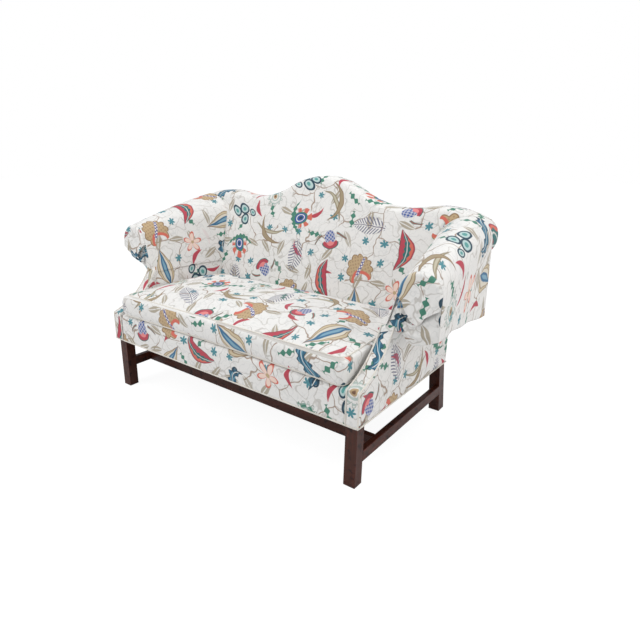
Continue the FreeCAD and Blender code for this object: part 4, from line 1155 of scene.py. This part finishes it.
def flap_depth(x, z, share, fall, gone):
    """Rounds over from the roll, then lies nearly flat with creases towards the tip."""
    turned = min(1.0, gone / 0.013)
    ends = min(1.0, 12 * min(share, 1 - share))
    crease = math.sin(share * 31 + fall * 4) * 0.0016 * fall
    crease += noise.noise(Vector((x * 30, z * 30, 2))) * 0.0018
    return 0.011 * math.sqrt(1 - (1 - turned) ** 2) + ends * (0.005 * fall ** 2 + crease * turned)


def swag_depth(x, z, share, fall, gone):
    """Soft folds that run from one side of the roll to the other."""
    hang = math.sin(math.pi * min(1.0, share))
    folds = math.sin(fall * 13 + 1.2 * math.sin(share * 5)) * 0.0045
    folds += noise.noise(Vector((x * 22, z * 40, 7))) * 0.002
    slack = 0.012 * math.sin(math.pi * (0.15 + 0.7 * fall))
    inner = max(0.0, 1 - share * 2.2)
    return -0.002 + hang * (slack + folds) + inner * 0.006


def roll_front():
    """The cover's front edge from above the pocket inside, over the roll, to its outer side."""
    line = [spot for spot in section_line(ARM_FRONT, COVER_PROUD) if spot[0] > 0.66 or spot[1] > 0.600]
    return line + [(line[-1][0], 0.600)]


ROLL_SIDE = section_line(ARM_FRONT, COVER_PROUD)[-1][0]
front_cloth("arm_cover_flap", "left", 1, roll_front(), [
    (0.645, 0.588), (0.660, 0.562), (0.680, 0.535), (0.700, 0.523),
    (0.712, 0.536), (0.720, 0.553), (0.749, 0.575), (ROLL_SIDE, 0.585)],
    flap_depth)
front_cloth("arm_cover_swag", "left", 1, [
    (0.636, 0.588), (0.640, 0.552), (0.655, 0.530), (0.683, 0.524),
    (0.702, 0.534), (0.730, 0.560), (ROLL_SIDE, 0.590)], [
    (0.637, 0.560), (0.641, 0.520), (0.649, 0.498), (0.669, 0.466),
    (0.690, 0.458), (0.712, 0.462), (0.735, 0.470), (ROLL_SIDE, 0.484)],
    swag_depth)
front_cloth("arm_cover_flap", "right", -1, roll_front(), [
    (0.645, 0.588), (0.658, 0.566), (0.676, 0.548), (0.695, 0.545),
    (0.712, 0.560), (0.735, 0.578), (ROLL_SIDE, 0.597)],
    flap_depth)
front_cloth("arm_cover_swag", "right", -1, [
    (0.636, 0.588), (0.640, 0.560), (0.655, 0.546), (0.680, 0.540),
    (0.705, 0.552), (0.730, 0.576), (ROLL_SIDE, 0.600)], [
    (0.635, 0.560), (0.637, 0.535), (0.643, 0.522), (0.665, 0.530),
    (0.690, 0.546), (0.715, 0.563), (0.735, 0.578), (ROLL_SIDE, 0.592)],
    swag_depth)

arm_cover("left", 1)
arm_cover("right", -1)


# Floor, light and camera

def with_white(tree, plain, white, share, output):
    """Ends a tree in a shader that, for the camera alone, is partly white."""
    rays = tree.nodes.new("ShaderNodeLightPath")
    scale = tree.nodes.new("ShaderNodeMath")
    scale.operation = "MULTIPLY"
    scale.inputs[1].default_value = share
    mixed = tree.nodes.new("ShaderNodeMixShader")
    out = tree.nodes.new(output)
    tree.links.new(rays.outputs["Is Camera Ray"], scale.inputs[0])
    for number, source in enumerate((scale, plain, white)):
        tree.links.new(source.outputs[0], mixed.inputs[number])
    tree.links.new(mixed.outputs[0], out.inputs["Surface"])


def coloured(tree, kind, colour, strength=None):
    shader = tree.nodes.new(kind)
    shader.inputs["Color"].default_value = (*colour, 1)
    if strength is not None:
        shader.inputs["Strength"].default_value = strength
    return shader


def cleared(owner):
    owner.use_nodes = True
    owner.node_tree.nodes.clear()
    return owner.node_tree


def floor():
    bm = bmesh.new()
    bmesh.ops.create_grid(bm, x_segments=8, y_segments=8, size=14)
    mesh = bpy.data.meshes.new("floor")
    bm.to_mesh(mesh)
    bm.free()
    material = bpy.data.materials.new("floor_paper")
    tree = cleared(material)
    paper = coloured(tree, "ShaderNodeBsdfDiffuse", (0.86, 0.86, 0.86))
    glow = coloured(tree, "ShaderNodeEmission", (1, 1, 1), 1.15)
    with_white(tree, paper, glow, 0.8, "ShaderNodeOutputMaterial")
    mesh.materials.append(material)
    linked("floor", mesh)


def studio():
    world = bpy.data.worlds.new("studio")
    bpy.context.scene.world = world
    tree = cleared(world)
    soft = coloured(tree, "ShaderNodeBackground", (0.93, 0.96, 1.0), 0.58)
    white = coloured(tree, "ShaderNodeBackground", (1, 1, 1), 1.0)
    with_white(tree, soft, white, 1.0, "ShaderNodeOutputWorld")


def lamp(name, place, target, size, power, tint):
    light = bpy.data.lights.new(name, "AREA")
    light.shape = "SQUARE"
    light.size = size
    light.energy = power
    light.color = tint
    obj = linked(name, light)
    obj.location = place
    obj.rotation_euler = (Vector(target) - Vector(place)).to_track_quat("-Z", "Y").to_euler()


def camera():
    data = bpy.data.cameras.new("camera")
    data.lens = 29.475
    data.sensor_width = 36
    data.shift_x = 0.0578
    data.shift_y = -0.003
    obj = linked("camera", data)
    obj.location = (1.3197, LEG_FRONT - 1.237, 1.060)
    obj.rotation_euler = (math.radians(71.1), 0, math.radians(38.97))
    bpy.context.scene.camera = obj


floor()
studio()
lamp("window", (-1.6, -2.6, 2.6), (0, 0, 0.4), 1.8, 42, (1.0, 0.99, 0.98))
lamp("overhead", (0.4, -0.3, 3.0), (0, 0, 0.4), 2.4, 38, (0.97, 0.99, 1.0))
lamp("side", (3.0, 0.2, 1.6), (0.5, 0, 0.3), 1.2, 22, (1.0, 0.97, 0.94))
camera()
bpy.context.scene.view_settings.view_transform = "Standard"
